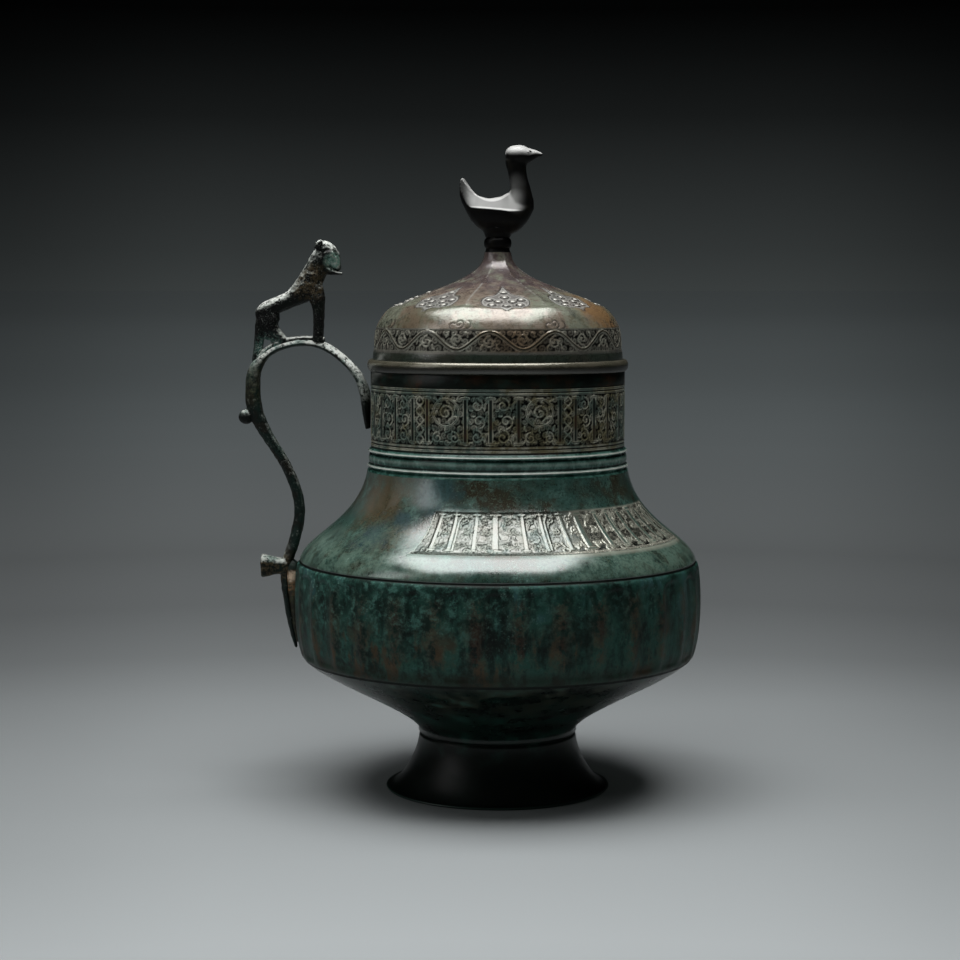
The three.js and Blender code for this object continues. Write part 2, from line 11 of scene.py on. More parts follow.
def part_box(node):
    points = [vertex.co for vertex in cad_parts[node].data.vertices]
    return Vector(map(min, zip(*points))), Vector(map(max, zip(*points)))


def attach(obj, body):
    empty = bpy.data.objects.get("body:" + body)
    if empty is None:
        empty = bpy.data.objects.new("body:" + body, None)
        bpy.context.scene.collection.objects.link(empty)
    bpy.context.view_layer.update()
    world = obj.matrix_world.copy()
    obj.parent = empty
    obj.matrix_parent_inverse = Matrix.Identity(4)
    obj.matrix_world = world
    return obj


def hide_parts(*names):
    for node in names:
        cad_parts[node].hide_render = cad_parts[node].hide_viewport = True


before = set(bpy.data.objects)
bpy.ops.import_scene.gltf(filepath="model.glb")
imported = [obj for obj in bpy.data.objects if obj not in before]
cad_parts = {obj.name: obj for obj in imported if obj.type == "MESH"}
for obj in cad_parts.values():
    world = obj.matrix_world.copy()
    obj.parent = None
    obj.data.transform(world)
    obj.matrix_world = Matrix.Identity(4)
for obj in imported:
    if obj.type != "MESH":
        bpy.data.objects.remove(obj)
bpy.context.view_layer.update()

MM = 0.001
foot_low, foot_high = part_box("foot")
AXIS_X = (foot_low.x + foot_high.x) / 2 / MM

# Heights of the seams and edges
FOOT_TOP = 29.5
BOWL_TOP = 68.5
DRUM_TOP = 119.5
SHOULDER_TOP = 165.5
RIM = 216.5
LID_WALL_TOP = 237.0
DOME_SHOULDER = 250.1
DOME_TOP = 277.0
COLLAR_TOP = 284.5
LAP = 4.0  # how far a seam's tongue reaches into its neighbour

# Radii
FOOT_RIM_R = 58.0
FOOT_NECK_R = 40.7
LOWER_CREASE_R = 99.7
BELLY_R = 104.9
UPPER_CREASE_R = 102.1
SHOULDER_TOP_R = 67.2
NECK_R = 65.3
LID_R = 64.3
LID_SPRING_R = 63.0
DOME_SHOULDER_R = 51.3
DOME_TOP_R = 6.9
WALL = 2.0
LID_WALL = 1.3

FACETS = 8
FACET_TURN = 4.7  # degrees from the front to the nearest facet's middle
FACET_HALF = 180 / FACETS
FLUTES = 32

LID_BAND = (227.4, 238.9)  # heights of the engraved band
MANE = (-96, -6, 262)  # middle of the beast's mane

# Camera, in metres and degrees
CAMERA_BACK = 1.120
CAMERA_UP = 0.2582
CAMERA_TILT = 5.013
CAMERA_TURN = 0.465
LENS = 81.55


def placed(name, data):
    """A new object in the scene."""
    made = bpy.data.objects.new(name, data)
    bpy.context.scene.collection.objects.link(made)
    return made


def make_camera():
    data = bpy.data.cameras.new("camera")
    data.sensor_width = 36.0
    data.lens = LENS
    data.clip_start, data.clip_end = 0.05, 1000.0
    camera = placed("camera", data)
    camera.location = (AXIS_X * MM, -CAMERA_BACK, CAMERA_UP)
    camera.rotation_euler = (math.radians(90 - CAMERA_TILT), 0.0, math.radians(CAMERA_TURN))
    bpy.context.scene.camera = camera


make_camera()


# Node trees written as expressions
class Wire:
    """A socket that maths can be written on."""

    def __init__(self, graph, socket):
        self.graph, self.socket = graph, socket

    def math(self, operation, *others):
        return self.graph.math(operation, self, *others)

    def __add__(self, other):
        return self.math("ADD", other)

    __radd__ = __add__

    def __mul__(self, other):
        return self.math("MULTIPLY", other)

    __rmul__ = __mul__

    def __sub__(self, other):
        return self.math("SUBTRACT", other)

    def __rsub__(self, other):
        return self.graph.math("SUBTRACT", other, self)

    def __truediv__(self, other):
        return self.math("DIVIDE", other)

    def __rtruediv__(self, other):
        return self.graph.math("DIVIDE", other, self)

    def __pow__(self, other):
        return self.math("POWER", other)

    def __abs__(self):
        return self.math("ABSOLUTE")

    def most(self, other):
        return self.math("MAXIMUM", other)

    def least(self, other):
        return self.math("MINIMUM", other)

    def step(self, low, high):
        """0 below low, 1 above high, smooth between; low may be the larger one."""
        sockets = {"Value": self, "From Min": min(low, high), "From Max": max(low, high)}
        sockets["To Min"], sockets["To Max"] = (0.0, 1.0) if low < high else (1.0, 0.0)
        return self.graph.node("ShaderNodeMapRange", sockets, interpolation_type="SMOOTHSTEP", clamp=True)

    def axes(self):
        """The x, y and z of a place or a direction."""
        split = self.graph.node("ShaderNodeSeparateXYZ", {"Vector": self}).socket.node
        return [Wire(self.graph, split.outputs[axis]) for axis in "XYZ"]


class Graph:
    """A node tree that is filled from Python."""

    def __init__(self, tree):
        self.tree = tree

    def put(self, socket, value):
        """Links a wire to a socket, or sets a constant on it."""
        if isinstance(value, Wire):
            self.tree.links.new(value.socket, socket)
        else:
            socket.default_value = (*value, 1.0) if socket.type == "RGBA" else value

    def node(self, kind, sockets=None, out=0, **settings):
        made = self.tree.nodes.new(kind)
        for key, value in settings.items():
            setattr(made, key, value)
        for key, value in (sockets or {}).items():
            self.put(made.inputs[key], value)
        return Wire(self, made.outputs[out])

    def math(self, operation, *values):
        return self.node("ShaderNodeMath", dict(enumerate(values)), operation=operation)

    def mix(self, a, b, share):
        return self.node("ShaderNodeMix", {0: share, 6: a, 7: b}, out=2, data_type="RGBA")

    def distance(self, a, b):
        return self.node("ShaderNodeVectorMath", {0: a, 1: b}, out="Value", operation="DISTANCE")


class Finish(Graph):
    """Material of one kind of metal surface, laid up in coats and patterned in object coordinates."""

    def __init__(self, name, ior, metal):
        self.material = bpy.data.materials.new(name)
        self.material.use_nodes = True
        super().__init__(self.material.node_tree)
        self.sockets = self.tree.nodes["Principled BSDF"].inputs
        self.put(self.sockets["IOR"], ior)
        self.metal = metal
        sockets = {"Vector": self.node("ShaderNodeTexCoord", out="Object"), "Location": (-AXIS_X, 0, 0)}
        self.place = self.node("ShaderNodeMapping", {**sockets, "Scale": (1 / MM,) * 3})
        self.x, _, self.z = self.place.axes()

    def lay(self, colour, share):
        """Lays a coat of colour over the metal, as thick as the share of 0 to 1."""
        self.metal = self.mix(self.metal, colour, share)

    def noise(self, size, detail, rough, seed, tall=1.0, distortion=0.0):
        """Noise of 0 to 1 whose blotches are about size millimetres across."""
        sockets = {"Vector": self.place, "Location": (seed * 17.0,) * 3, "Scale": (1.0, 1.0, tall)}
        sockets = {"Vector": self.node("ShaderNodeMapping", sockets), "Scale": 1.0 / size, "Detail": detail}
        return self.node("ShaderNodeTexNoise", {**sockets, "Roughness": rough, "Distortion": distortion})

    def noises(self, *kinds):
        return [self.noise(*kind) for kind in kinds]

    def band(self, low, high, soft):
        return self.z.step(low - soft, low + soft) * self.z.step(high + soft, high - soft)

    def spots(self, ragged, *places):
        """The strongest of some round spots: x, y, z, full within, gone beyond, strength."""
        found = []
        for *centre, full, gone, strength in places:
            found.append((self.distance(self.place, centre) + ragged).step(gone, full) * strength)
        return functools.reduce(Wire.most, found)

    def mark(self, name):
        return self.node("ShaderNodeAttribute", out="Fac", attribute_name=name)

    def contours(self, size, count, seed):
        """Fine curling lines, about count of them within each blotch of the given size."""
        level = (self.noise(size, 0.6, 0.4, seed, distortion=0.6) * count).math("FRACT")
        return abs(level - 0.5).step(0.12, 0.03)

    def facing_up(self):
        return self.node("ShaderNodeNewGeometry", out="Normal").axes()[2]

    def done(self, roughness, height, depth, metallic):
        """Joins the results to the shader; height is in units of depth millimetres."""
        bump = self.node("ShaderNodeBump", {"Strength": 1.0, "Distance": depth * MM, "Height": height})
        results = {"Base Color": self.metal, "Roughness": roughness, "Metallic": metallic, "Normal": bump}
        for key, value in results.items():
            self.put(self.sockets[key], value)
        return self.material


# Colours as linear values
TEAL = (0.020, 0.076, 0.058)
TEAL_PALE = (0.085, 0.175, 0.145)
TEAL_BRIGHT = (0.036, 0.118, 0.096)
TEAL_CRUST = (0.080, 0.200, 0.165)
TEAL_HAZE = (0.170, 0.270, 0.210)
TEAL_DEEP = (0.006, 0.020, 0.015)
VERDIGRIS = (0.190, 0.340, 0.280)
BLUE = (0.050, 0.110, 0.130)
GREEN_BLACK = (0.004, 0.007, 0.005)
BLACK = (0.004, 0.004, 0.004)
OLIVE = (0.050, 0.054, 0.022)
BROWN = (0.115, 0.082, 0.040)
BROWN_DARK = (0.018, 0.016, 0.009)
BROWN_RED = (0.060, 0.020, 0.010)
COPPER = (0.305, 0.250, 0.195)
ORANGE = (0.300, 0.165, 0.060)
PLUM = (0.125, 0.088, 0.096)
SLATE = (0.075, 0.078, 0.080)
SHOULDER_TEAL = (0.045, 0.105, 0.088)
SHOULDER_BROWN = (0.046, 0.040, 0.024)
LID_OLIVE = (0.262, 0.280, 0.212)
# Brass of the ring's upper half, worn and with painted light.
BRASS_WORN_LIT = (0.230, 0.215, 0.158)
LINE_PALE = (0.600, 0.590, 0.480)
LINE_OLIVE = (0.300, 0.280, 0.160)
LINE_GREEN = (0.220, 0.300, 0.250)
SILVERY = (0.440, 0.435, 0.395)
SILVER_GREY = (0.270, 0.273, 0.265)
SILVER_PALE = (0.600, 0.600, 0.585)
# Painted glint colour of the solder.
SOLDER_GLINT = (0.860, 0.660, 0.480)
SOLDER_WARM = (0.260, 0.145, 0.070)
# Painted highlight colour of worn tops that face the light.
WORN_HIGHLIGHT = (0.760, 0.790, 0.740)
STONE_WHITE = (0.560, 0.600, 0.550)


def shoulder_finish():
    f = Finish("shoulder patina", 2.1, SHOULDER_TEAL)
    cloud, blotch, fine = f.noises((26, 5, 0.6, 1), (9, 6, 0.65, 2), (1.6, 5, 0.7, 3))
    fleck, grain = f.noises((0.8, 3, 0.6, 31), (2.2, 7, 0.8, 41))
    f.lay(SHOULDER_BROWN, cloud.step(0.42, 0.62))
    f.lay(TEAL_PALE, blotch.step(0.48, 0.66) * fine.step(0.36, 0.54) * 0.9)
    f.lay(TEAL_DEEP, blotch.step(0.46, 0.34) * 0.35)
    f.lay(OLIVE, cloud.step(0.5, 0.38) * blotch.step(0.5, 0.4) * 0.6)
    ragged = (blotch - 0.5) * 40
    f.lay(BROWN, f.spots(ragged, (-56, -46, 151, 6, 27, 1), (-50, -66, 140, 3, 15, 0.8)) * 0.9)
    blue = f.spots(ragged, (-46, -62, 146, 2, 11, 1), (-60, -58, 138, 2, 14, 1), (-30, -62, 160, 4, 16, 0.7))
    f.lay(BLUE, blue * 0.7)
    f.lay(TEAL_HAZE, f.z.step(146, 128) * blotch.step(0.32, 0.58) * abs(f.x).step(8, 50) * 0.75)
    f.lay(TEAL, grain.step(0.50, 0.60) * f.z.step(158, 140) * 0.55)
    f.lay(TEAL_HAZE, fleck.step(0.57, 0.66) * cloud.step(0.40, 0.56) * 0.55)
    f.lay(TEAL_DEEP, fine.step(0.52, 0.42) * cloud.step(0.60, 0.44) * 0.35)
    ground, line, field = f.mark("ground"), f.mark("line"), f.mark("field")
    scroll = ground * f.contours(4.5, 7, 33)
    # Painted light: near the front, where the lamp's reflection falls, the field is paled and its lines drawn
    # dark; farther round the lines are pale on a darker ground.
    away = f.x.step(22, 50)
    f.lay(LINE_PALE, field * (0.28 - away * 0.20))
    f.lay(SHOULDER_TEAL, field * blotch.step(0.52, 0.64) * 0.7)
    f.lay(GREEN_BLACK, ground * (0.2 + away * 0.7))
    drawn = f.mix(GREEN_BLACK, LINE_PALE, away)
    f.lay(drawn, scroll * 0.5)
    f.lay(drawn, line * 0.9)
    f.lay(GREEN_BLACK, fine.step(0.60, 0.76) * 0.5)
    # Painted shade in the groove at the seam.
    seam = f.z.step(120.1, 119.6)
    f.lay(GREEN_BLACK, seam)
    dull = f.spots(
        ragged, (-60, -24, 156, 8, 30, 1), (-44, -46, 161, 4, 18, 0.8), (-88, -30, 128, 6, 26, 0.6)
    )
    rough = 0.15 + blotch.step(0.35, 0.7) * 0.10 + ground * 0.07 + fine.step(0.5, 0.8) * 0.08
    rough = rough + seam * 0.5 + scroll * 0.12 + dull * 0.4
    metallic = 0.15 + (scroll * 0.4).most(ground * away * 0.6).most(line * (1 - away) * 0.75)
    return f.done(rough, fine * 0.4 + blotch * 0.9 - scroll * 2.0, 0.12, metallic)


def belly_finish():
    f = Finish("belly verdigris", 1.26, TEAL_DEEP)
    cloud, streak, fine = f.noises((30, 5, 0.6, 4), (7, 5, 0.65, 5, 0.35), (1.1, 6, 0.75, 6))
    crust, fleck = f.noises((4.2, 7, 0.72, 7), (2.0, 6, 0.75, 32))
    left, upper, rib = f.x.step(50, -70), f.z.step(82, 110), f.mark("rib")
    f.lay(TEAL, streak.step(0.34, 0.56))
    f.lay(GREEN_BLACK, cloud.step(0.46, 0.60) * 0.75)
    f.lay(TEAL_BRIGHT, crust.step(0.42, 0.66) * (0.4 + left * 0.5))
    f.lay(BLUE, cloud.step(0.50, 0.40) * streak.step(0.44, 0.58) * upper * 0.5)
    f.lay(BLACK, f.spots((crust - 0.5) * 50, (0, -100, 90, 4, 44, 0.75)) * streak.step(0.60, 0.40))
    rust = f.mix(BROWN_RED, BROWN, streak.step(0.44, 0.6) * 0.5)
    f.lay(rust, f.z.step(104, 80) * streak.step(0.48, 0.60) * cloud.step(0.44, 0.56) * 0.8)
    f.lay(rust, rib * crust.step(0.44, 0.54) * f.band(78, 112, 5) * 0.6)
    f.lay(TEAL_CRUST, upper * crust.step(0.52, 0.66) * (0.2 + left * 0.7))
    specks = fleck.step(0.54, 0.66) * cloud.step(0.56, 0.42) * f.z.step(74, 104)
    f.lay(VERDIGRIS, specks * (0.3 + left * 0.6))
    f.lay(VERDIGRIS, fine.step(0.57, 0.63) * crust.step(0.42, 0.54) * upper * (0.2 + left * 0.45))
    f.lay(BROWN_DARK, f.band(68, 76, 3) * 0.6)
    f.lay(GREEN_BLACK, fine.step(0.52, 0.70) * 0.6)
    # Painted shade in the grooves at the top edge and the lower crease.
    f.lay(GREEN_BLACK, f.z.step(118.3, 118.8).most(f.z.step(70.2, 69.8)))
    return f.done(0.40 + crust.step(0.4, 0.65) * 0.18 - rib * 0.06, fine * 0.5 + crust, 0.2, 0.1)


def bowl_finish():
    f = Finish("bowl and foot patina", 1.42, TEAL_DEEP)
    cloud, fine, crust = f.noises((24, 5, 0.6, 8), (1.3, 6, 0.7, 9), (13, 7, 0.62, 10, 1.4))
    foot = f.z.step(31.5, 29)
    f.lay(GREEN_BLACK, cloud.step(0.35, 0.62))
    f.lay(BROWN_RED, f.band(50, 69, 5) * crust.step(0.48, 0.6) * 0.6)
    f.lay(TEAL, crust.step(0.46, 0.70) * 0.7)
    f.lay(TEAL_BRIGHT, crust.step(0.54, 0.66) * f.x.step(20, -60) * f.band(40, 66, 6) * 0.6)
    f.lay(GREEN_BLACK, fine.step(0.5, 0.72) * 0.5)
    # The foot is painted near black: its dark patina, and painted shade under the belly.
    f.lay(GREEN_BLACK, foot * (1 - crust.step(0.50, 0.65) * f.z.step(14, 29) * 0.5) * 0.9)
    # Painted highlight on the foot's lip.
    f.lay(TEAL_PALE, f.mark("line") * 0.35)
    return f.done(0.26 + crust.step(0.35, 0.7) * 0.08 + foot * 0.12, fine * 0.4 + crust, 0.08, 0.05)


def neck_finish():
    f = Finish("neck patina", 1.38, BROWN_DARK)
    cloud, blotch, fine = f.noises((20, 5, 0.6, 11), (6, 5, 0.65, 12), (0.9, 5, 0.7, 13))
    ground, line, ring = f.mark("ground"), f.mark("line"), f.band(165, 177.5, 0.8)
    f.lay(GREEN_BLACK, cloud.step(0.35, 0.55))
    f.lay(TEAL_DEEP, blotch.step(0.5, 0.68) * 0.8)
    f.lay(BROWN_RED, cloud.step(0.55, 0.4) * blotch.step(0.52, 0.42) * 0.45)
    f.lay(f.mix(TEAL, TEAL_CRUST, blotch.step(0.4, 0.6)), ring * 0.9)
    # Painted shade in the valleys between the ring mouldings.
    f.lay(GREEN_BLACK, f.band(169.2, 170.4, 0.5).most(f.band(173.9, 175.1, 0.5)) * 0.85)
    tone = f.mix(LINE_OLIVE, LINE_GREEN, cloud.step(0.44, 0.56))
    tone = f.mix(tone, LINE_PALE, blotch.step(0.44, 0.60) * 0.8)
    # On the rings the line mark is a painted highlight in pale stone.
    tone = f.mix(tone, STONE_WHITE, ring)
    f.lay(BLACK, ground * 0.9)
    f.lay(tone, ground * f.contours(4.0, 7, 34) * 0.12)
    f.lay(tone, line * (0.8 + blotch.step(0.35, 0.65) * 0.2))
    rough = 0.28 + ground * 0.25 + blotch.step(0.4, 0.7) * 0.12 - ring * 0.08
    return f.done(rough, fine * 0.6 + blotch * 0.6 + line * 0.5, 0.14, ground * (1 - line) * (1 - ring) * 0.9)


def lid_finish():
    f = Finish("lid bronze", 1.9, COPPER)
    cloud, blotch, fine = f.noises((22, 5, 0.6, 14), (7, 6, 0.65, 15), (0.9, 5, 0.7, 16))
    stain = f.noise(3.2, 6, 0.7, 36)
    ground, line, pale = f.mark("ground"), f.mark("line"), f.mark("pale")
    ragged, in_band = (blotch - 0.5) * 40, f.band(*LID_BAND, 0.6)
    f.lay(LID_OLIVE, cloud.step(0.42, 0.54))
    f.lay(PLUM, f.z.step(252, 262) * blotch.step(0.34, 0.56) * 0.9)
    f.lay(BROWN_DARK, blotch.step(0.50, 0.68) * 0.55)
    f.lay(BROWN, stain.step(0.48, 0.64) * 0.5)
    f.lay(ORANGE, f.spots(ragged, (52, -26, 250, 6, 26, 0.8)))
    f.lay(BROWN, f.spots(ragged, (-44, -44, 246, 4, 24, 0.6)))
    f.lay(TEAL_DEEP, cloud.step(0.56, 0.7) * f.band(226, 246, 4) * 0.7)
    f.lay(BROWN_DARK, in_band * 0.92)
    f.lay(TEAL_DEEP, f.band(216, 227, 1.0) * 0.85)
    f.lay(PLUM, stain.step(0.50, 0.60) * f.z.step(244, 252) * 0.35)
    f.lay(SLATE, pale * 0.7)
    f.lay(BLACK, ground * 0.92)
    tone = f.mix(LINE_PALE, COPPER, blotch.step(0.48, 0.62) * 0.7)
    tone = f.mix(tone, ORANGE, f.spots(ragged, (10, -63, 233, 8, 24, 0.7)))
    f.lay(tone, ground * in_band * f.contours(4.0, 6, 35) * 0.12)
    f.lay(tone, line * in_band * 0.95)
    f.lay(SILVERY, line * (1 - in_band) * 0.9)
    # Painted highlight along the facets' ridges.
    f.lay(SILVERY, f.mark("corner") * blotch.step(0.60, 0.44) * 0.8)
    f.lay(BROWN_DARK, fine.step(0.54, 0.68) * 0.45)
    f.lay(GREEN_BLACK, stain.step(0.54, 0.70) * f.x.step(0, -60) * 0.5)
    rough = 0.16 + ground * 0.4 + blotch.step(0.4, 0.7) * 0.12 + pale * 0.3 - line * 0.1
    return f.done(rough, fine * 0.4 + blotch * 0.9, 0.14, 0.2 + ground * (1 - line) * 0.75)


def handle_finish():
    f = Finish("handle patina", 1.4, GREEN_BLACK)
    blotch, speck, fine = f.noises((8, 5, 0.6, 17), (1.8, 5, 0.75, 18), (0.7, 4, 0.7, 19))
    up = f.facing_up()
    lit = up.step(0.1, 0.6)
    f.lay(TEAL_DEEP, blotch.step(0.42, 0.6))
    olive = f.spots((blotch - 0.5) * 16, (-125, 0, 212, 6, 17, 1))
    f.lay(OLIVE, olive * speck.step(0.42, 0.58) * 0.9)
    f.lay(BROWN_DARK, blotch.step(0.5, 0.38) * 0.6)
    f.lay(STONE_WHITE, speck.step(0.56, 0.68) * 0.25)
    # The arch's top and front are painted paler as a highlight, where the light from above grazes them.
    arch = f.z.step(203, 221) * (1 - olive * 0.8)
    f.lay(BLACK, f.spots(0, (-129.5, 0, 192.5, 4, 5.5, 0.8)))
    knob = f.spots(0, (-117, 0, 115.5, 8, 13, 1))
    f.lay(BROWN, knob * speck.step(0.46, 0.56) * 0.7)
    # Painted highlight over real wear: faces that look up, the arch, the knob's top and a glint on top of the
    # ball are paled.
    worn_and_lit = lit * 0.35 + up.step(-0.35, 0.20) * arch + knob * lit * 0.5
    worn_and_lit = worn_and_lit + f.spots(0, (-129.8, -1.5, 195.6, 0.8, 2.8, 1)) * up.step(0.2, 0.6)
    worn = f.mix(f.mix(STONE_WHITE, WORN_HIGHLIGHT, arch), TEAL_CRUST, blotch.step(0.52, 0.62) * 0.6)
    f.lay(worn, worn_and_lit * speck.step(0.37, 0.55))
    f.lay(STONE_WHITE, f.spots(0, (-67, -4, 211, 6, 14, 0.6)) * speck.step(0.44, 0.54))
    f.lay(BLACK, f.spots(0, (-66, 0, 192, 6, 14, 0.8)))
    return f.done(0.40 + speck * 0.25, speck + fine * 0.4, 0.35, (1 - worn_and_lit) * 0.4)


def beast_finish():
    f = Finish("beast patina", 1.4, BLACK)
    blotch, speck, fine = f.noises((7, 5, 0.6, 20), (2.0, 5, 0.78, 21), (0.7, 4, 0.7, 22))
    up = f.facing_up()
    f.lay(GREEN_BLACK, blotch.step(0.42, 0.60))
    mane = f.spots(0, (*MANE, 6, 13, 1))
    f.lay(BROWN, mane * speck.step(0.44, 0.58) * 0.7)
    crust = f.mix(TEAL_CRUST, STONE_WHITE, fine.step(0.5, 0.6))
    f.lay(crust, f.spots(0, (-118, -4, 227, 3, 11, 1)) * speck.step(0.44, 0.54))
    # Painted highlight over real wear: faces that look up are paled, the more the more they face up.
    worn_and_lit = up.step(0.12, 0.62) * speck.step(0.40, 0.50) * (1 - mane * 0.6)
    worn_and_lit = worn_and_lit.most(up.step(-0.4, 0.2) * fine.step(0.58, 0.66) * 0.5)
    f.lay(f.mix(STONE_WHITE, WORN_HIGHLIGHT, up.step(0.3, 0.8)), worn_and_lit)
    cheek = f.spots(0, (-84, -4, 272.5, 3, 6, 1)) * speck.step(0.36, 0.46)
    f.lay(f.mix(VERDIGRIS, STONE_WHITE, speck.step(0.50, 0.62)), cheek)
    # Painted shade round the eye under the brow and at the root of the ear.
    f.lay(BLACK, f.spots(0, (-86.5, -4, 277.2, 0.8, 2.6, 1), (-92, -4, 279, 0.8, 2.4, 0.8)))
    return f.done(0.30 + speck * 0.25, speck + fine * 0.4, 0.45, (1 - worn_and_lit) * 0.55)


def bird_finish():
    f = Finish("black bronze", 1.22, BLACK)
    blotch, fine = f.noises((6, 4, 0.6, 23), (0.8, 4, 0.7, 24))
    up = f.facing_up()
    body = f.z.step(321, 316)
    # Painted highlight: the flanks' faces that look up are painted grey, their top edges, the ridge and the
    # back's edge pale.
    flank = up.step(0.10, 0.42) * f.z.step(290, 294) * body * f.x.step(15, 8)
    ridge = abs(f.z + f.x * 0.082 - 298.3).step(1.3, 0.7)
    behind = f.x + 3
    back = abs(f.z - behind * behind * 0.048 - (COLLAR_TOP + 18.9)).step(1.1, 0.4)
    back = back * f.x.step(8, 4) * up.step(-0.3, 0.1) * 0.8
    edges = (flank * up.step(0.78, 0.92).most(ridge)).most(back * body)
    # Painted highlight: the head's top is painted pale.
    head = f.z.step(322.5, 327) * up.step(-0.10, 0.50)
    f.lay(BROWN_DARK, blotch.step(0.5, 0.75) * 0.4)
    # Painted reflection: a soft grey stripe up the front of the neck.
    f.lay(SILVER_GREY, f.spots(0, (9, -6, 304, 2, 9, 1), (10, -5, 311, 1, 8, 0.4)) * f.x.step(16, 7))
    f.lay(SILVER_GREY, flank * (0.8 + blotch * 0.3))
    f.lay(SILVER_PALE, edges.most(head))
    f.lay(BLACK, f.spots(0, (16.8, -3.2, 328.3, 0.5, 1.2, 1)))
    return f.done(0.32 + fine * 0.1, fine * 0.5 + blotch, 0.08, 0.1)


def bead_finish():
    f = Finish("worn bead", 2.0, SILVERY)
    fine = f.noise(0.8, 4, 0.7, 30)
    f.lay(COPPER, fine.step(0.45, 0.7) * 0.6)
    return f.done(0.28 + fine * 0.1, fine, 0.08, 0.3)


def brass_finish():
    f = Finish("worn brass", 2.3, OLIVE)
    blotch, fine = f.noises((9, 5, 0.6, 25), (1.0, 4, 0.7, 26))
    f.lay(COPPER, blotch.step(0.44, 0.62) * 0.6)
    # Painted light and shade: the upper half of the ring is paler brass, partly worn and partly lit from
    # above, and the lower half is painted dark as shade.
    f.lay(BRASS_WORN_LIT, f.z.step(219.0, 221.4) * (0.5 + fine.step(0.4, 0.6) * 0.5))
    f.lay(BROWN_DARK, f.z.step(221.0, 219.2) * 0.95)
    f.lay(OLIVE, fine.step(0.55, 0.72) * 0.4)
    return f.done(0.19 + blotch * 0.12, fine + blotch, 0.12, 0.5)


def solder_finish():
    f = Finish("bare solder", 1.5, OLIVE)
    blotch, fleck = f.noises((3, 4, 0.6, 27), (1.3, 4, 0.7, 28))
    f.lay(BROWN_DARK, blotch.step(0.4, 0.6))
    f.lay(SOLDER_WARM, f.spots((blotch - 0.5) * 10, (-106, -3, 107.5, 3, 9, 1)) * fleck.step(0.44, 0.54))
    # Painted glint: a small bright pink spot.
    f.lay(SOLDER_GLINT, f.spots((fleck - 0.5) * 7, (-106, -4, 110, 1.2, 4.0, 1)))
    f.lay(TEAL_DEEP, (f.z + (blotch - 0.5) * 8).step(112.5, 115) * 0.9)
    return f.done(0.45 + blotch * 0.15, blotch, 0.3, 0.2)


def inner_finish():
    f = Finish("tarnished inside", 1.5, BROWN)
    blotch, fine = f.noises((10, 5, 0.65, 28), (1.2, 4, 0.7, 29))
    f.lay(BROWN_DARK, blotch.step(0.38, 0.62))
    return f.done(0.5 + fine * 0.15, fine, 0.15, 0.3)


SHOULDER = shoulder_finish()
BELLY = belly_finish()
BOWL = bowl_finish()
NECK = neck_finish()
LID = lid_finish()
HANDLE = handle_finish()
BEAST = beast_finish()
BIRD = bird_finish()
BRASS = brass_finish()
SOLDER = solder_finish()
INNER = inner_finish()
BEAD_METAL = bead_finish()


# Meshes
def raw_piece(name, points, faces=()):
    """An object from points in millimetres about the jug's axis."""
    mesh = bpy.data.meshes.new(name)
    mesh.from_pydata(((np.asarray(points, float) + (AXIS_X, 0, 0)) * MM).tolist(), [], faces)
    return placed(name, mesh)


def facing_out(points, faces):
    """The faces of a closed mesh, turned so that they look outwards."""
    a, b, c = (points[[face[k] for face in faces]] for k in range(3))
    volume = np.einsum("ij,ij->i", a, np.cross(b, c)).sum()
    return faces if volume > 0 else [face[::-1] for face in faces]


def metal_piece(name, points, faces, finish, sharp, marks=None):
    """A closed piece, smooth but for edges of more than sharp degrees; marks are named point values."""
    piece = raw_piece(name, points, facing_out(points, faces))
    mesh = piece.data
    mesh.polygons.foreach_set("use_smooth", [True] * len(mesh.polygons))
    for key, values in (marks or {}).items():
        layer = mesh.attributes.new(key, "FLOAT", "POINT")
        layer.data.foreach_set("value", np.asarray(values, np.float32).ravel())
    mesh.materials.append(finish)
    mesh.set_sharp_from_angle(angle=math.radians(sharp))
    return piece


def settle(piece, body, slot, *nodes):
    """Says which body carries a piece and which solids it stands for; the slot is not used."""
    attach(piece, body)
    if nodes:
        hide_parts(*nodes)


def baked(piece):
    """The piece as its modifiers show it, as a plain mesh."""
    dg = bpy.context.evaluated_depsgraph_get()
    dg.update()
    shown = piece.evaluated_get(dg)
    mesh = bpy.data.meshes.new_from_object(shown, preserve_all_data_layers=True, depsgraph=dg)
    piece.modifiers.clear()
    piece.data = mesh
    mesh.name = piece.name


def bend(a, b, c, d, count):
    """Points along a Bezier curve from a to d."""
    t = np.linspace(0, 1, count)[:, None]
    a, b, c, d = (np.array(p, float) for p in (a, b, c, d))
    return (1 - t) ** 3 * a + 3 * (1 - t) ** 2 * t * b + 3 * (1 - t) * t * t * c + t**3 * d


def directions(line):
    """Unit directions along a line."""
    along = np.gradient(line, axis=0)
    return along / np.linalg.norm(along, axis=1)[:, None]


def inside(line, gap):
    """The line moved inwards by gap, or outwards where gap is negative."""
    along = directions(line)
    return line + gap * np.stack([-along[:, 1], along[:, 0]], 1)


def travelled(line):
    """Distance along a line at each of its points."""
    return np.concatenate([[0], np.cumsum(np.linalg.norm(np.diff(line, axis=0), axis=1))])


def spaced(line, spacing):
    """Points along a line, about spacing apart; spacing may be a function of the height."""
    far = travelled(line)
    stops, at = [0.0], 0.0
    while True:
        z = np.interp(at, far, line[:, 1])
        at += spacing(z) if callable(spacing) else spacing
        if at >= far[-1] - 0.05:
            break
        stops.append(at)
    stops.append(far[-1])
    return np.stack([np.interp(stops, far, line[:, k]) for k in (0, 1)], 1)


def angles(columns):
    return np.arange(columns) / columns * 2 * math.pi


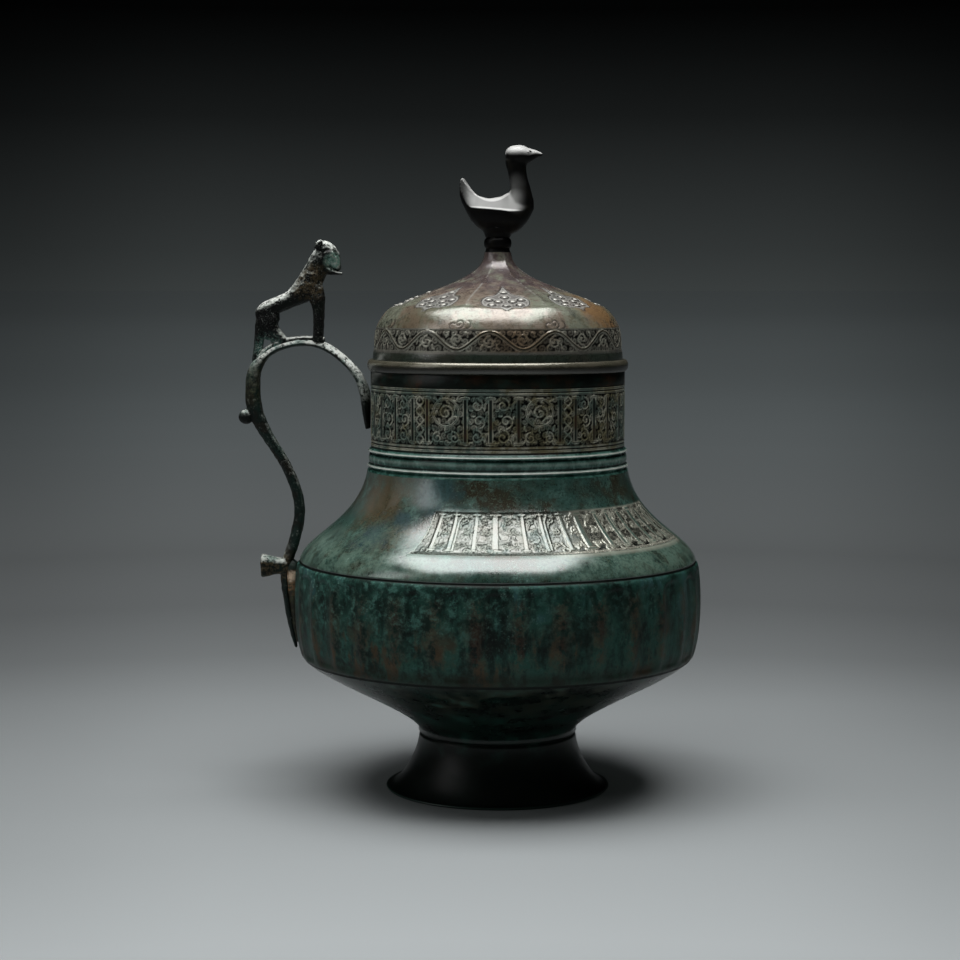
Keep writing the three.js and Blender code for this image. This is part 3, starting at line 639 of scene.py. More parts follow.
def turn_points(outline, columns):
    """Grid of columns by outline points; the angle runs from the front towards +X."""
    r, z = np.asarray(outline, float).T
    turn = angles(columns)[:, None]
    return np.stack([np.sin(turn) * r, -np.cos(turn) * r, np.broadcast_to(z, (columns, len(z)))], 2)


def ring_faces(columns, rows, closed):
    a = np.arange(columns)[:, None] * rows + np.arange(rows if closed else rows - 1)
    up = np.arange(1, rows + 1) % rows if closed else np.arange(1, rows)
    b = np.arange(columns)[:, None] * rows + up
    right, c = ((p + rows) % (columns * rows) for p in (a, b))
    return np.stack([a, right, c, b], 2).reshape(-1, 4).tolist()


def turned(name, outline, columns, finish, sharp, marks=None):
    """Closed ring from an outline that runs round the wall's section."""
    points = turn_points(outline, columns).reshape(-1, 3)
    return metal_piece(name, points, ring_faces(columns, len(outline), True), finish, sharp, marks)


def turned_solid(outline, columns):
    """Points and faces of a closed body from an outline that starts and ends on the axis."""
    rows = len(outline) - 2
    ends = [(0, 0, outline[0][1]), (0, 0, outline[-1][1])]
    points = np.concatenate([turn_points(outline[1:-1], columns).reshape(-1, 3), ends])
    faces = ring_faces(columns, rows, False)
    low = columns * rows
    for k in range(columns):
        n = (k + 1) % columns
        faces += [[low, n * rows, k * rows], [low + 1, k * rows + rows - 1, n * rows + rows - 1]]
    return points, faces


def engraved(name, r, z, wall, finish, sharp, marks):
    """Closed ring with an outer grid of radii and heights, rows by columns, and a plain wall behind it."""
    columns = r.shape[1]
    turn = angles(columns)
    outer = np.stack([r * np.sin(turn), -r * np.cos(turn), np.broadcast_to(z, r.shape)], 2).transpose(1, 0, 2)
    grid = np.concatenate([outer, turn_points(wall, columns)], 1)
    marks = {key: np.pad(part.T, ((0, 0), (0, len(wall)))) for key, part in marks.items()}
    faces = ring_faces(columns, grid.shape[1], True)
    return metal_piece(name, grid.reshape(-1, 3), faces, finish, sharp, marks)


def bump(x, centre, width):
    return np.exp(-(((x - centre) / width) ** 2))


def rounded(r, z, half_wide, half_tall, reach, count):
    """Outline of a round moulding, to reach degrees either side of its crest."""
    t = np.radians(np.linspace(-reach, reach, count))
    return np.stack([r + half_wide * np.cos(t), z + half_tall * np.sin(t)], 1)


# Outer lines of the vessel and the dome, the same curves as in the solids
FOOT_START = (FOOT_RIM_R - 1.5, 1.2)
FOOT_LINE = bend(FOOT_START, (50.7, 2.4), (FOOT_NECK_R, 18.0), (FOOT_NECK_R, FOOT_TOP), 60)
BOWL_LINE = bend((FOOT_NECK_R, 31.5), (46.6, 42.0), (87.9, 57.8), (LOWER_CREASE_R, BOWL_TOP), 80)
DRUM_PULL = (BELLY_R - (LOWER_CREASE_R + UPPER_CREASE_R) / 8) / (6 / 8)
DRUM_LINE = bend(
    (LOWER_CREASE_R, BOWL_TOP), (DRUM_PULL, 71.3), (DRUM_PULL, 119.0), (UPPER_CREASE_R, DRUM_TOP), 90
)
SHOULDER_LINE = bend(
    (UPPER_CREASE_R, DRUM_TOP), (100.7, 131.2), (72.0, 138.8), (SHOULDER_TOP_R, SHOULDER_TOP), 90
)
DOME_SPRING_LINE = bend(
    (LID_SPRING_R, LID_WALL_TOP), (61.2, 242.7), (56.4, 250.1), (DOME_SHOULDER_R, DOME_SHOULDER), 50
)
DOME_CONE_LINE = bend(
    (DOME_SHOULDER_R, DOME_SHOULDER), (31.2, 259.8), (DOME_TOP_R, 263.8), (DOME_TOP_R, DOME_TOP), 90
)
DOME_LINE = np.concatenate([DOME_SPRING_LINE, DOME_CONE_LINE[1:]])


# Engraving
def from_segment(u, v, a, b):
    """Distance of the places u, v from the straight line between a and b."""
    d = b - a
    t = np.clip(((u - a[0]) * d[0] + (v - a[1]) * d[1]) / max(d @ d, 1e-9), 0, 1)
    return np.hypot(u - a[0] - t * d[0], v - a[1] - t * d[1])


UP = math.pi / 2


def spiral(cx, cy, r, turns, start, hand, points):
    t = np.linspace(0, 1, points)
    angle = start + hand * t * turns * 2 * math.pi
    radius = r * (1 - 0.86 * t)
    return np.stack([cx + radius * np.cos(angle), cy + radius * np.sin(angle)], 1)


def arc(cx, cy, r, start, end, points=14):
    angle = np.radians(np.linspace(start, end, points))
    return np.stack([cx + r * np.cos(angle), cy + r * np.sin(angle)], 1)


class Strip:
    """Unrolled strip of metal in millimetres, with the mesh's own points as its grid."""

    SOFT = 0.24  # width of a raised edge
    REACH = 0.8  # how far from a band its edge still shows

    def __init__(self, radius, heights, columns, fine=0.19, inset=0.12):
        """Fine is half the width of a light line, and inset how far inside a raised edge it runs."""
        self.degree = 2 * math.pi * radius / 360
        self.pitch = 2 * math.pi * radius / columns
        self.columns, self.fine, self.inset = columns, fine, inset
        self.v = np.asarray(heights, float)
        self.face, self.line = (np.zeros((len(self.v), columns)) for _ in range(2))

    def depth(self, points, width, taper=None):
        """How deep each grid point lies inside a band that follows the points; -9 far from it."""
        points = np.asarray(points, float)
        taper = taper or (1, 1)
        share = np.interp(np.linspace(0, 1, len(points)), np.linspace(0, 1, len(taper)), taper)
        deep = np.full(self.face.shape, -9.0)
        for a, b, w in zip(points[:-1], points[1:], width * (share[:-1] + share[1:]) / 2):
            reach = w / 2 + self.REACH
            low, high = np.minimum(a, b) - reach, np.maximum(a, b) + reach
            first, last = np.searchsorted(self.v, (low[1], high[1]))
            if first == last:
                continue
            cols = np.arange(math.floor(low[0] / self.pitch), math.ceil(high[0] / self.pitch) + 1)
            far = from_segment(*np.meshgrid(cols * self.pitch, self.v[first:last]), a, b)
            at = np.ix_(np.arange(first, last), cols % self.columns)
            deep[at] = np.maximum(deep[at], w / 2 - far)
        return deep

    def stroke(self, points, width, taper=None):
        """Raises a band with a light line along its edges."""
        deep = self.depth(points, width, taper)
        touched = deep > -self.REACH
        d = deep[touched]
        self.face[touched] = np.maximum(self.face[touched], np.clip(d / self.SOFT + 0.5, 0, 1))
        inner = np.clip(d / 0.3, 0, 1)
        self.line[touched] = np.maximum(self.line[touched] * (1 - inner), bump(d, self.inset, self.fine))

    def hoop(self, v, width):
        """Raises a band right round at one height."""
        self.stroke(np.stack([np.arange(361) * self.degree, np.full(361, v)], 1), width)

    def thread(self, points, strength):
        """Draws a fine line on the ground without raising it."""
        deep = self.depth(points, 0.2)
        touched = deep > -self.REACH
        self.line[touched] = np.maximum(self.line[touched], strength * bump(deep[touched], 0, 0.3))

    def curls(self, left, right, low, high, size, seed):
        """Covers a field with small engraved curls in rough rows."""
        rng = np.random.default_rng(seed)
        rows = max(1, round((high - low) / size))
        count = max(1, round((right - left) / size))
        for i in range(rows):
            for k in range(count):
                x = left + (k + 0.5 + 0.5 * (i % 2)) * (right - left) / count + rng.uniform(-0.3, 0.3)
                y = low + (i + 0.5) * (high - low) / rows + rng.uniform(-0.3, 0.3)
                hand = rng.choice((-1, 1))
                start = rng.uniform(0, 2 * math.pi)
                self.thread(spiral(x, y, size * 0.5, 1.2, start, hand, 9), rng.uniform(0.35, 0.7))

    def leaf(self, x, y, length, lean, width=0.95):
        """Small almond leaf that springs from x, y."""
        c, s = length * math.cos(lean), length * math.sin(lean)
        middle = (x + c / 2 - 0.18 * s, y + s / 2 + 0.18 * c)
        self.stroke([(x, y), middle, (x + c, y + s)], width, (0.45, 1.0, 0.3))

    def scroll(self, cx, cy, r, start, hand, line=0.55):
        """Spiral tendril with leaves inside and outside."""
        self.stroke(spiral(cx, cy, r, 1.3, start, hand, 18), line, (1, 0.9, 0.9, 1.3))
        for k in range(3):
            angle = start + hand * (1.9 + k * 1.9)
            x, y = (r * (1.0 - 0.1 * k) * way(angle) for way in (math.cos, math.sin))
            self.leaf(cx + x, cy + y, 0.45 * r, angle + hand * 0.9, line * 1.3)

    def bar(self, x, low, high, width):
        """Plain upright bar with a flared head and base."""
        self.stroke([(x, low), (x, high)], width)
        for end in (low, high):
            self.stroke([(x - width * 0.8, end), (x + width * 0.8, end)], width * 0.55)

    def rosette(self, x, y, r):
        """Ring round a spiral, with leaves between them."""
        self.stroke(arc(x, y, r, 0, 360, 34), 0.95)
        self.stroke(spiral(x, y, r * 0.64, 1.6, -1.2, 1, 24), 0.6)
        for k in range(7):
            angle = 2 * math.pi * k / 7 + 0.3
            self.leaf(x + r * 0.72 * math.cos(angle), y + r * 0.72 * math.sin(angle), 1.7, angle + 1.1, 1.2)

    def braid(self, x, low, high, half, turns):
        t = np.linspace(0, 1, 40)
        for way in (-1, 1):
            sway = way * half * np.sin(t * turns * math.pi)
            self.stroke(np.stack([x + sway, low + t * (high - low)], 1), 0.6)

    def scroll_field(self, left, right, low, high):
        """Fills a field between two bars: wide with a rosette, slim with a braid, others with scrolls."""
        wide, tall, middle = right - left, high - low, (left + right) / 2
        if wide > 15:
            r = min(wide / 2 - 0.9, 6.8)
            self.rosette(middle, high - r - 0.8, r)
            for side in (-1, 1):
                x = middle + side * (wide / 2 - 2.2)
                self.scroll(middle + side * wide * 0.26, low + 3.4, 2.9, UP, -side)
                self.leaf(x, high - 0.9, 2.4, UP + side * 2.0)
                self.leaf(x, low + 7.0, 2.4, UP - side * 0.3)
            self.leaf(middle, low + 6.2, 3.0, UP)
        elif wide < 7:
            self.braid(middle, low, high, wide / 2 - 0.9, 5)
        else:
            r = min(wide / 2 - 1.3, 3.7)
            count = max(2, round(tall / (2 * r + 0.6)))
            for k in range(count):
                side = 1 if k % 2 else -1
                cy = low + (k + 0.5) * tall / count
                cx = middle + side * (wide / 2 - r - 0.6) * 0.8
                self.scroll(cx, cy, min(r, tall / count / 2 - 0.2), -side * UP, side)
                self.leaf(middle - side * (wide / 2 - 1.2), cy - 1.2, 3.2, UP + side * 0.35, 1.3)


NECK_CELLS = (12, 11, 8, 18, 11, 12, 19, 8, 11, 10)  # widths in degrees, three times round
NECK_CELLS_FROM = 297.0
NECK_LINES = (179.2, 181.0, 207.2, 209.0)
NECK_FIELD = (182.4, 205.8)


def neck_strip(heights, columns):
    strip = Strip(NECK_R, heights, columns)
    low, high = NECK_FIELD
    strip.curls(0, 360 * strip.degree, low - 0.6, high + 0.6, 3.4, seed=3)
    for v in NECK_LINES:
        strip.hoop(v, 0.9)
    at = NECK_CELLS_FROM
    for cell in NECK_CELLS * 3:
        strip.bar(at * strip.degree, low + 0.7, high - 0.6, 2.2)
        strip.scroll_field(at * strip.degree + 1.5, (at + cell) * strip.degree - 1.5, low, high)
        at += cell
    return strip


LID_WAVES = 12
LID_WAVES_FROM = 132.0  # degrees


def lid_band(strip, low, high):
    """A waving tendril right round, with a spiral and leaves in each of its bends."""
    strip.curls(0, 360 * strip.degree, low, high, 4.0, seed=5)
    middle, half = (low + high) / 2, (high - low) / 2 - 1.4
    t = np.linspace(0, 360, 900)
    wave = middle + half * np.sin(np.radians(t * LID_WAVES + LID_WAVES_FROM))
    strip.stroke(np.stack([t * strip.degree, wave], 1), 1.7)
    for k in range(2 * LID_WAVES):
        side = -1 if k % 2 else 1
        x = ((k + 0.5) * 180 - LID_WAVES_FROM) / LID_WAVES % 360 * strip.degree
        strip.stroke(spiral(x, middle - side * 0.8, half * 0.72, 1.4, side * UP, side, 18), 0.5)
        for lean in (-1, 1):
            strip.leaf(x + lean * 1.2, middle - side * 1.4, 2.0, side * (UP - lean * 0.9), 0.7)
            strip.leaf(x + lean * 4.4, middle - side * 4.2, 2.6, side * UP + lean * 0.5, 0.8)
    strip.hoop(low, 0.8)
    strip.hoop(high, 0.9)


def lid_curls(strip, high):
    for k in range(FACETS):
        x = ((FACET_TURN + FACET_HALF * (2 * k + 1)) % 360) * strip.degree
        strip.thread(spiral(x, high + 2.8, 2.7, 1.3, -UP, 1, 26), 1.0)
        strip.thread(arc(x + 3.6, high + 2.4, 2.4, -90, 60), 1.0)
        strip.thread(arc(x - 3.4, high + 1.6, 1.7, 60, 250), 1.0)


# The medallion's outline as (sideways, up the slope), right half from the bottom to the tip
MEDALLION = (
    (0, -1.4), (3.6, 0.8), (7.6, 0.8), (11.2, 4.4), (11.8, 9.8), (9.0, 15.2), (5.0, 17.4), (2.5, 21.6),
    (0, 29.0)
)
MEDALLION_FROM = 248.9  # height where its coordinates start
BEADS = (
    (0, 3.4), (-7.0, 5.0), (7.0, 5.0), (-3.6, 9.0), (3.6, 9.0), (-8.0, 11.2), (8.0, 11.2), (0, 14.4),
    (0, 21.0)
)


def medallion_loop(per=8):
    """The medallion's whole outline as a smooth closed curve."""
    p = np.array(MEDALLION + tuple((-x, y) for x, y in MEDALLION[-2:0:-1]), float)
    before, after, further = np.roll(p, 1, 0), np.roll(p, -1, 0), np.roll(p, -2, 0)
    t = np.linspace(0, 1, per, endpoint=False)[:, None, None]
    curve = p + (after - before) * t / 2 + (2 * before - 5 * p + 4 * after - further) * t**2 / 2
    curve = curve + (3 * p - before - 3 * after + further) * t**3 / 2
    return curve.transpose(1, 0, 2).reshape(-1, 2)


def sides_of(loop):
    return zip(loop, np.roll(loop, -1, 0))


def inside_loop(loop, u, v):
    hit = np.zeros(u.shape, bool)
    for (x0, y0), (x1, y1) in sides_of(loop):
        with np.errstate(divide="ignore", invalid="ignore"):
            hit ^= ((y0 > v) != (y1 > v)) & (u < (x1 - x0) * (v - y0) / (y1 - y0) + x0)
    return hit


# Vessel
def groove(line, z, depth, width):
    """Sinks a narrow groove into an outline at a height."""
    return line - np.stack([depth * bump(line[:, 1], z, width), 0 * line[:, 1]], 1)


def make_foot():
    lip = [(-3.6, 0), (-1, 0), (-0.3, 0.25), (0, 0.7), (-0.2, 1.15)]
    outer = np.concatenate([np.add(lip, (FOOT_RIM_R, 0)), spaced(FOOT_LINE, 0.7)])
    wall = inside(spaced(FOOT_LINE, 2.5), WALL)[::-1]
    outline = np.concatenate([groove(outer, 28.7, 0.7, 0.5), wall[:-1]])
    columns = 256
    edge = np.zeros((columns, len(outline)))
    # The line mark on the lip is a painted highlight.
    edge[:, 2:5] = 1.0
    piece = turned("foot_flare", outline, columns, BOWL, 50, {"line": edge})
    settle(piece, "vessel", "vessel_patina", "foot")


def make_bowl():
    floor, inner = FOOT_TOP, 38.3
    collar = [(40.2, floor + 0.05), (40.9, floor + 0.2), (41.15, floor + 0.8), (40.9, floor + 1.5)]
    seam = BOWL_TOP - 0.1
    outline = np.concatenate([
        [(0, floor), (36.9, floor), (36.9, floor - LAP), (inner, floor - LAP), (inner, floor)],
        collar, spaced(BOWL_LINE, 0.9)[1:],
        [(97.3, seam), (97.3, seam + LAP), (95.9, seam + LAP), (95.9, seam)],
        inside(spaced(BOWL_LINE, 4.0), WALL)[1:-1][::-1], [(38.7, floor + WALL), (0, floor + WALL)],
    ])
    points, faces = turned_solid(outline, 256)
    settle(metal_piece("bowl_shell", points, faces, BOWL, 50), "vessel", "vessel_patina", "lower_bowl")


def node_group(name, floats):
    """A geometry tree with named inputs: its graph, and its inputs as wires."""
    tree = bpy.data.node_groups.new(name, "GeometryNodeTree")
    kinds = {"Geometry": "Geometry", **dict.fromkeys(floats, "Float"), "Metal": "Material"}
    for key, kind in kinds.items():
        tree.interface.new_socket(key, in_out="INPUT", socket_type=f"NodeSocket{kind}")
    tree.interface.new_socket("Geometry", in_out="OUTPUT", socket_type="NodeSocketGeometry")
    g = Graph(tree)
    source = tree.nodes.new("NodeGroupInput")
    return g, {socket.name: Wire(g, socket) for socket in source.outputs if socket.name}


def end_group(g, geometry, metal):
    """Makes the geometry, realized and with its material, the tree's result."""
    real = g.node("GeometryNodeRealizeInstances", {"Geometry": geometry})
    dressed = g.node("GeometryNodeSetMaterial", {"Geometry": real, "Material": metal})
    g.tree.links.new(dressed.socket, g.tree.nodes.new("NodeGroupOutput").inputs[0])
    return g.tree


def flute_tree():
    """Sinks flutes into the belly's wall: hollow between narrow ribs, with round upper ends."""
    names = ("Flutes", "Depth", "Rib share", "Low end", "High end", "Arch", "Axis", "Outside", "Wobble")
    g, given = node_group("flutes", names)
    place = g.node("GeometryNodeInputPosition")
    x, y, z = place.axes()
    x = x - given["Axis"]
    turn = x.math("ARCTAN2", y * -1)
    phase = (turn / (2 * math.pi) * given["Flutes"] + 0.5 + given["Flutes"]).math("FRACT")
    off = abs(phase - 0.5) * 2
    hollow = (1 - (off / (1 - given["Rib share"])).least(1.0) ** 2.0) ** 0.8
    round_end = given["Arch"] * (1 - (1 - off * off).most(0.0).math("SQRT"))
    top = given["High end"] - round_end
    bottom = given["Low end"] + round_end * 0.35
    within = (top - z).step(-0.0006, 0.0018) * (z - bottom).step(-0.0005, 0.0022)
    radius = (x * x + y * y).math("SQRT")
    outer = (radius - given["Outside"]).step(-0.0016, -0.0012)
    wobble = g.node("ShaderNodeTexNoise", {"Vector": place, "Scale": 26.0, "Detail": 2.0})
    sink = hollow * within * given["Depth"] * outer + (wobble - 0.5) * given["Wobble"] * outer
    unit = g.node("ShaderNodeCombineXYZ", {0: x / radius, 1: y / radius, 2: 0.0})
    shift = g.node("ShaderNodeVectorMath", {0: unit, "Scale": sink * -1}, operation="SCALE")
    moved = g.node("GeometryNodeSetPosition", {"Geometry": given["Geometry"], "Offset": shift})
    rib = {"Geometry": moved, "Name": "rib", "Value": (1 - hollow) * within}
    marked = g.node("GeometryNodeStoreNamedAttribute", rib, data_type="FLOAT", domain="POINT")
    return end_group(g, marked, given["Metal"])


def grow(piece, tree, values):
    """Runs a node tree on a piece, with its inputs set by name, and keeps the result as a plain mesh."""
    modifier = piece.modifiers.new(tree.name, "NODES")
    modifier.node_group = tree
    for item in tree.interface.items_tree:
        if item.in_out == "INPUT" and item.name in values:
            modifier[item.identifier] = values[item.name]
    baked(piece)


def make_belly():
    outer = groove(groove(spaced(DRUM_LINE, 0.7), 69.6, 0.6, 0.5), 118.8, 0.9, 0.5)
    wall = inside(spaced(DRUM_LINE, 4.0), WALL)[::-1]
    piece = turned("belly_flutes", np.concatenate([outer, wall]), FLUTES * 18, BELLY, 60)
    lengths = {
        "Depth": 1.0, "Low end": 71.6, "High end": 115.4, "Arch": 5.0, "Axis": AXIS_X,
        "Outside": LOWER_CREASE_R,
        "Wobble": 0.5,
    }
    values = {key: value * MM for key, value in lengths.items()}
    grow(piece, flute_tree(), {**values, "Flutes": float(FLUTES), "Rib share": 0.10, "Metal": BELLY})
    settle(piece, "vessel", "vessel_patina", "belly_drum")


CARTOUCHE = (-25.5, 82.0)  # degrees from the front; its twin lies behind the handle's plane
CARTOUCHE_Z = (131.7, 150.6)
CARTOUCHE_R = 82.0  # the radius at which it is drawn
CARTOUCHE_GAPS = (6, 8, 7, 10, 7, 8, 7, 9, 6, 7, 8, 6, 7, 6)  # between its bars, as shares


def cartouche_strip(rows, columns):
    """The arcade of bars and scrolls with a chain along the foot of it, on both sides of the jug."""
    far = travelled(rows)
    strip = Strip(CARTOUCHE_R, far, columns, fine=0.30, inset=-0.05)
    low, high = np.interp(CARTOUCHE_Z, rows[:, 1], far)
    middle = (low + high) / 2
    left, right = (turn * strip.degree for turn in CARTOUCHE)
    strip.curls(left, right, low + 4.5, high, 2.8, seed=9)
    stops = np.concatenate([[0], np.cumsum(CARTOUCHE_GAPS)])
    bars = left + 6 + stops * (right - left - 11) / stops[-1]
    for k, x in enumerate(bars):
        strip.bar(x, low + 3.4, high - 1.7, 3.0 if k % 4 == 3 else 2.1)
        if k % 3 != 1:
            strip.stroke(arc(x - 2.6, low + 3.0, 1.5, 0, 360, 20), 0.8)
        if k % 4 == 1:
            strip.stroke([(x + 1.9, low + 3.4), (x + 1.9, high - 6.0), (x + 3.6, high - 2.2)], 1.3)
    for k, (x, step) in enumerate(zip(bars, np.diff(bars))):
        hand = 1 if k % 2 else -1
        strip.scroll(x + step * 0.45, high - 4.4, 2.2, -UP, hand, 0.6)
        strip.scroll(x + step * 0.60, middle + 1.8, 2.2, UP, -hand, 0.6)
        strip.scroll(x + step * 0.40, low + 6.2, 1.9, 0.4, hand, 0.6)
        strip.leaf(x + step * 0.74, high - 3.6, 2.8, UP + hand * 0.5, 0.9)
        strip.leaf(x + step * 0.30, high - 9.6, 3.0, 1.2, 0.9)
        strip.leaf(x + step * 0.76, low + 5.6, 2.8, 1.9, 0.9)
    strip.stroke([(left, low + 1.4), (right, low + 1.4)], 0.5)
    edge = [(left + 1.8, high), (left + 1.0, middle), (left - 1.4, low + 2), (left - 3.6, low)]
    strip.stroke([*edge, (right, low), (right, high), edge[0]], 1.0)
    half_round = 180 * strip.degree
    u = (np.arange(columns) * strip.pitch + half_round) % (2 * half_round) - half_round
    uu, vv = np.meshgrid(u, far)
    edge_u, edge_v = np.array(edge[::-1]).T
    field = (uu > np.interp(vv, edge_v, edge_u)) & (uu < right) & (vv > low) & (vv < high)
    marks = {
        "ground": field * (1 - strip.face),
        "line": strip.line * np.maximum(field, strip.face),
        "field": field * 1.0,
    }
    # The twin is the mirror image in the plane through the handle
    twin = (columns // 2 - np.arange(columns)) % columns
    return {key: np.maximum(part, part[:, twin]) for key, part in marks.items()}


def sunk(rows, depth):
    """Radii and heights of a grid whose rows are sunk into the wall by depth."""
    outward = inside(rows, -1.0) - rows
    return (rows[:, k][:, None] - outward[:, k][:, None] * depth for k in (0, 1))


def make_shoulder():
    coarse, fine = 2.6, 0.52
    rows = spaced(SHOULDER_LINE, lambda z: fine if 130.2 < z < 151.8 else coarse)
    marks = cartouche_strip(rows, 1080)
    r, z = sunk(rows, 0.24 * marks["ground"])
    wall = np.concatenate([
        inside(spaced(SHOULDER_LINE, 8.0), WALL)[::-1],
        [(98.3, DRUM_TOP - 0.2), (98.3, DRUM_TOP - LAP), (99.8, DRUM_TOP - LAP), (99.8, DRUM_TOP - 0.5)],
        [(101.0, 119.2), (101.9, 119.3), (102.25, 119.8), (102.1, 120.5)],
    ])
    skip = int(np.searchsorted(rows[:, 1], 121.4))
    marks = {key: part[skip:] for key, part in marks.items()}
    piece = engraved("shoulder_shell", r[skip:], z[skip:], wall, SHOULDER, 60, marks)
    settle(piece, "vessel", "shoulder_patina", "shoulder")


# A ring moulding: height of its crest, radius, half height, how far it falls off, how roundly
NECK_RINGS = ((168.4, 67.3, 1.3, 1.3, 1.3), (172.1, 66.5, 2.3, 0.6, 2.0), (176.0, 66.8, 1.2, 1.3, 1.3))


def make_neck():
    """Ring mouldings, wall behind the engraved sleeve, rim and inside."""
    rings = []
    for crest, r, half, low, power in NECK_RINGS:
        t = np.linspace(-1, 1, 9)
        rings.append(np.stack([r - low * np.abs(t) ** power, crest + half * t], 1))
    sleeve, inner, bottom = NECK_R - 0.6, NECK_R - WALL, SHOULDER_TOP - LAP
    outer = np.concatenate([
        [(64.9, bottom), (64.9, SHOULDER_TOP), (67.2, SHOULDER_TOP), (67.0, SHOULDER_TOP + 0.7)], *rings,
        [(65.2, 177.7), (sleeve, 178.0), (sleeve, 209.9), (NECK_R, 210.2), (NECK_R, RIM - 0.3), (65.0, RIM)],
        [(63.6, RIM), (inner, RIM - 0.3), (inner, 190.0), (inner, bottom)],
    ])
    columns = 320
    # The line mark on each ring's crest is a painted highlight, fainter on the middle ring.
    edge = np.zeros((columns, len(outer)))
    for k, glint in ((0, 1.0), (1, 0.25), (2, 1.0)):
        edge[:, 4 + 9 * k + 3:4 + 9 * k + 7] = (0.3 * glint, 0.9 * glint, glint, 0.4 * glint)
    settle(turned("neck_wall", outer, columns, NECK, 50, {"line": edge}), "vessel", "neck_patina", "neck")


def make_neck_band():
    rows = np.linspace(178.1, 209.8, 84)
    strip = neck_strip(rows, 1040)
    ground = 1 - strip.face
    ground[:2], ground[-2:] = 0, 0
    wall = [(64.5, rows[-1]), (64.5, rows[0])]
    marks = {"ground": ground, "line": strip.line}
    piece = engraved("neck_band", NECK_R + 0.02 - 0.34 * ground, rows[:, None], wall, NECK, 70, marks)
    settle(piece, "vessel", "neck_patina", "neck")


# Lid
def facet_scale(turn, z):
    """How far the cone is pushed out to its soft edges, by angle from the front in degrees and height."""
    off = (turn - FACET_TURN + FACET_HALF) % (2 * FACET_HALF) - FACET_HALF
    grown = np.clip((z - 247.5) / 7, 0, 1)
    grown = grown * grown * (3 - 2 * grown) * (1 - 0.8 * np.clip((z - 267) / 9, 0, 1))
    return 1 + 0.8 * grown * (1 / np.cos(np.radians(off)) - 1), off, grown


def lid_spacing(z):
    if 226.8 < z < 245.5:
        return 0.44
    return 0.54 if 247.8 < z < 258.6 else 1.9


def make_lid():
    profile = np.concatenate([[(LID_R, RIM), (LID_R, 222.5)], DOME_LINE])
    rows = spaced(profile, lid_spacing)
    columns = 720
    far = travelled(rows)
    low, high, start = np.interp((*LID_BAND, MEDALLION_FROM), rows[:, 1], far)
    strip = Strip(LID_SPRING_R, far, columns, fine=0.22)
    lid_band(strip, low, high)
    in_band = ((far > low) & (far < high)).astype(float)[:, None]
    curls = Strip(LID_SPRING_R, far, columns)
    lid_curls(curls, high)
    cut = curls.line * (1 - in_band)
    radii = rows[:, 0][:, None]
    scale, off, grown = facet_scale(np.degrees(angles(columns))[None, :], rows[:, 1][:, None])
    # Medallions, in their own flat coordinates on each facet
    b = (far - start)[:, None] + 0 * off
    a = np.radians(off) * radii
    loop = medallion_loop()
    near = (np.abs(a) < 13) & (b > -3) & (b < 31)
    au, bv = a[near], b[near]
    within = inside_loop(loop, au, bv)
    edge_far = np.min([from_segment(au, bv, p, q) for p, q in sides_of(loop)], 0)
    bead_far = np.min([np.hypot(au - x, bv - y) for x, y in BEADS], 0)
    field, dark, light = (np.zeros(a.shape) for _ in range(3))
    field[near] = within
    dark[near] = np.maximum(bump(edge_far, 0, 0.30), within * bump(bead_far, 2.0, 0.36))
    light[near] = within * np.maximum(bump(edge_far, 0.80, 0.26), bump(bead_far, 2.75, 0.3) * 0.8)
    # The corner mark is a painted highlight along the facets' ridges.
    marks = {
        "ground": np.clip((1 - strip.face) * in_band + dark + cut * 0.9, 0, 1),
        "line": np.clip(strip.line * in_band + light, 0, 1),
        "pale": field,
        "corner": bump((FACET_HALF - np.abs(off)) * np.radians(1) * radii, 0, 0.42) * grown,
    }
    r, z = sunk(rows, 0.34 * (1 - strip.face) * in_band + 0.12 * field + 0.25 * dark + 0.15 * cut)
    wall = inside(spaced(profile, 8.0), LID_WALL)[::-1]
    ceiling = DOME_TOP - 4
    wall = wall[wall[:, 1] < ceiling]
    wall = np.concatenate([[(3.4, DOME_TOP), (3.4, ceiling), (wall[0, 0], ceiling)], wall])
    settle(engraved("lid_shell", r * scale, z, wall, LID, 60, marks), "lid", "lid_bronze", "lid_dome")


def bead_tree():
    """Sets a low round bead on each point of a guide mesh, turned to its normal."""
    g, given = node_group("beads", ("Bead radius",))
    bead = g.node("GeometryNodeMeshUVSphere", {"Segments": 14, "Rings": 8, "Radius": given["Bead radius"]})
    bead = g.node("GeometryNodeSetShadeSmooth", {"Geometry": bead})
    lean = g.node("GeometryNodeInputNamedAttribute", {"Name": "lean"}, data_type="FLOAT_VECTOR")
    turn = g.node("FunctionNodeAlignRotationToVector", {"Vector": lean}, axis="Z")
    sockets = {"Points": given["Geometry"], "Instance": bead, "Rotation": turn, "Scale": (1.0, 1.0, 0.42)}
    return end_group(g, g.node("GeometryNodeInstanceOnPoints", sockets), given["Metal"])


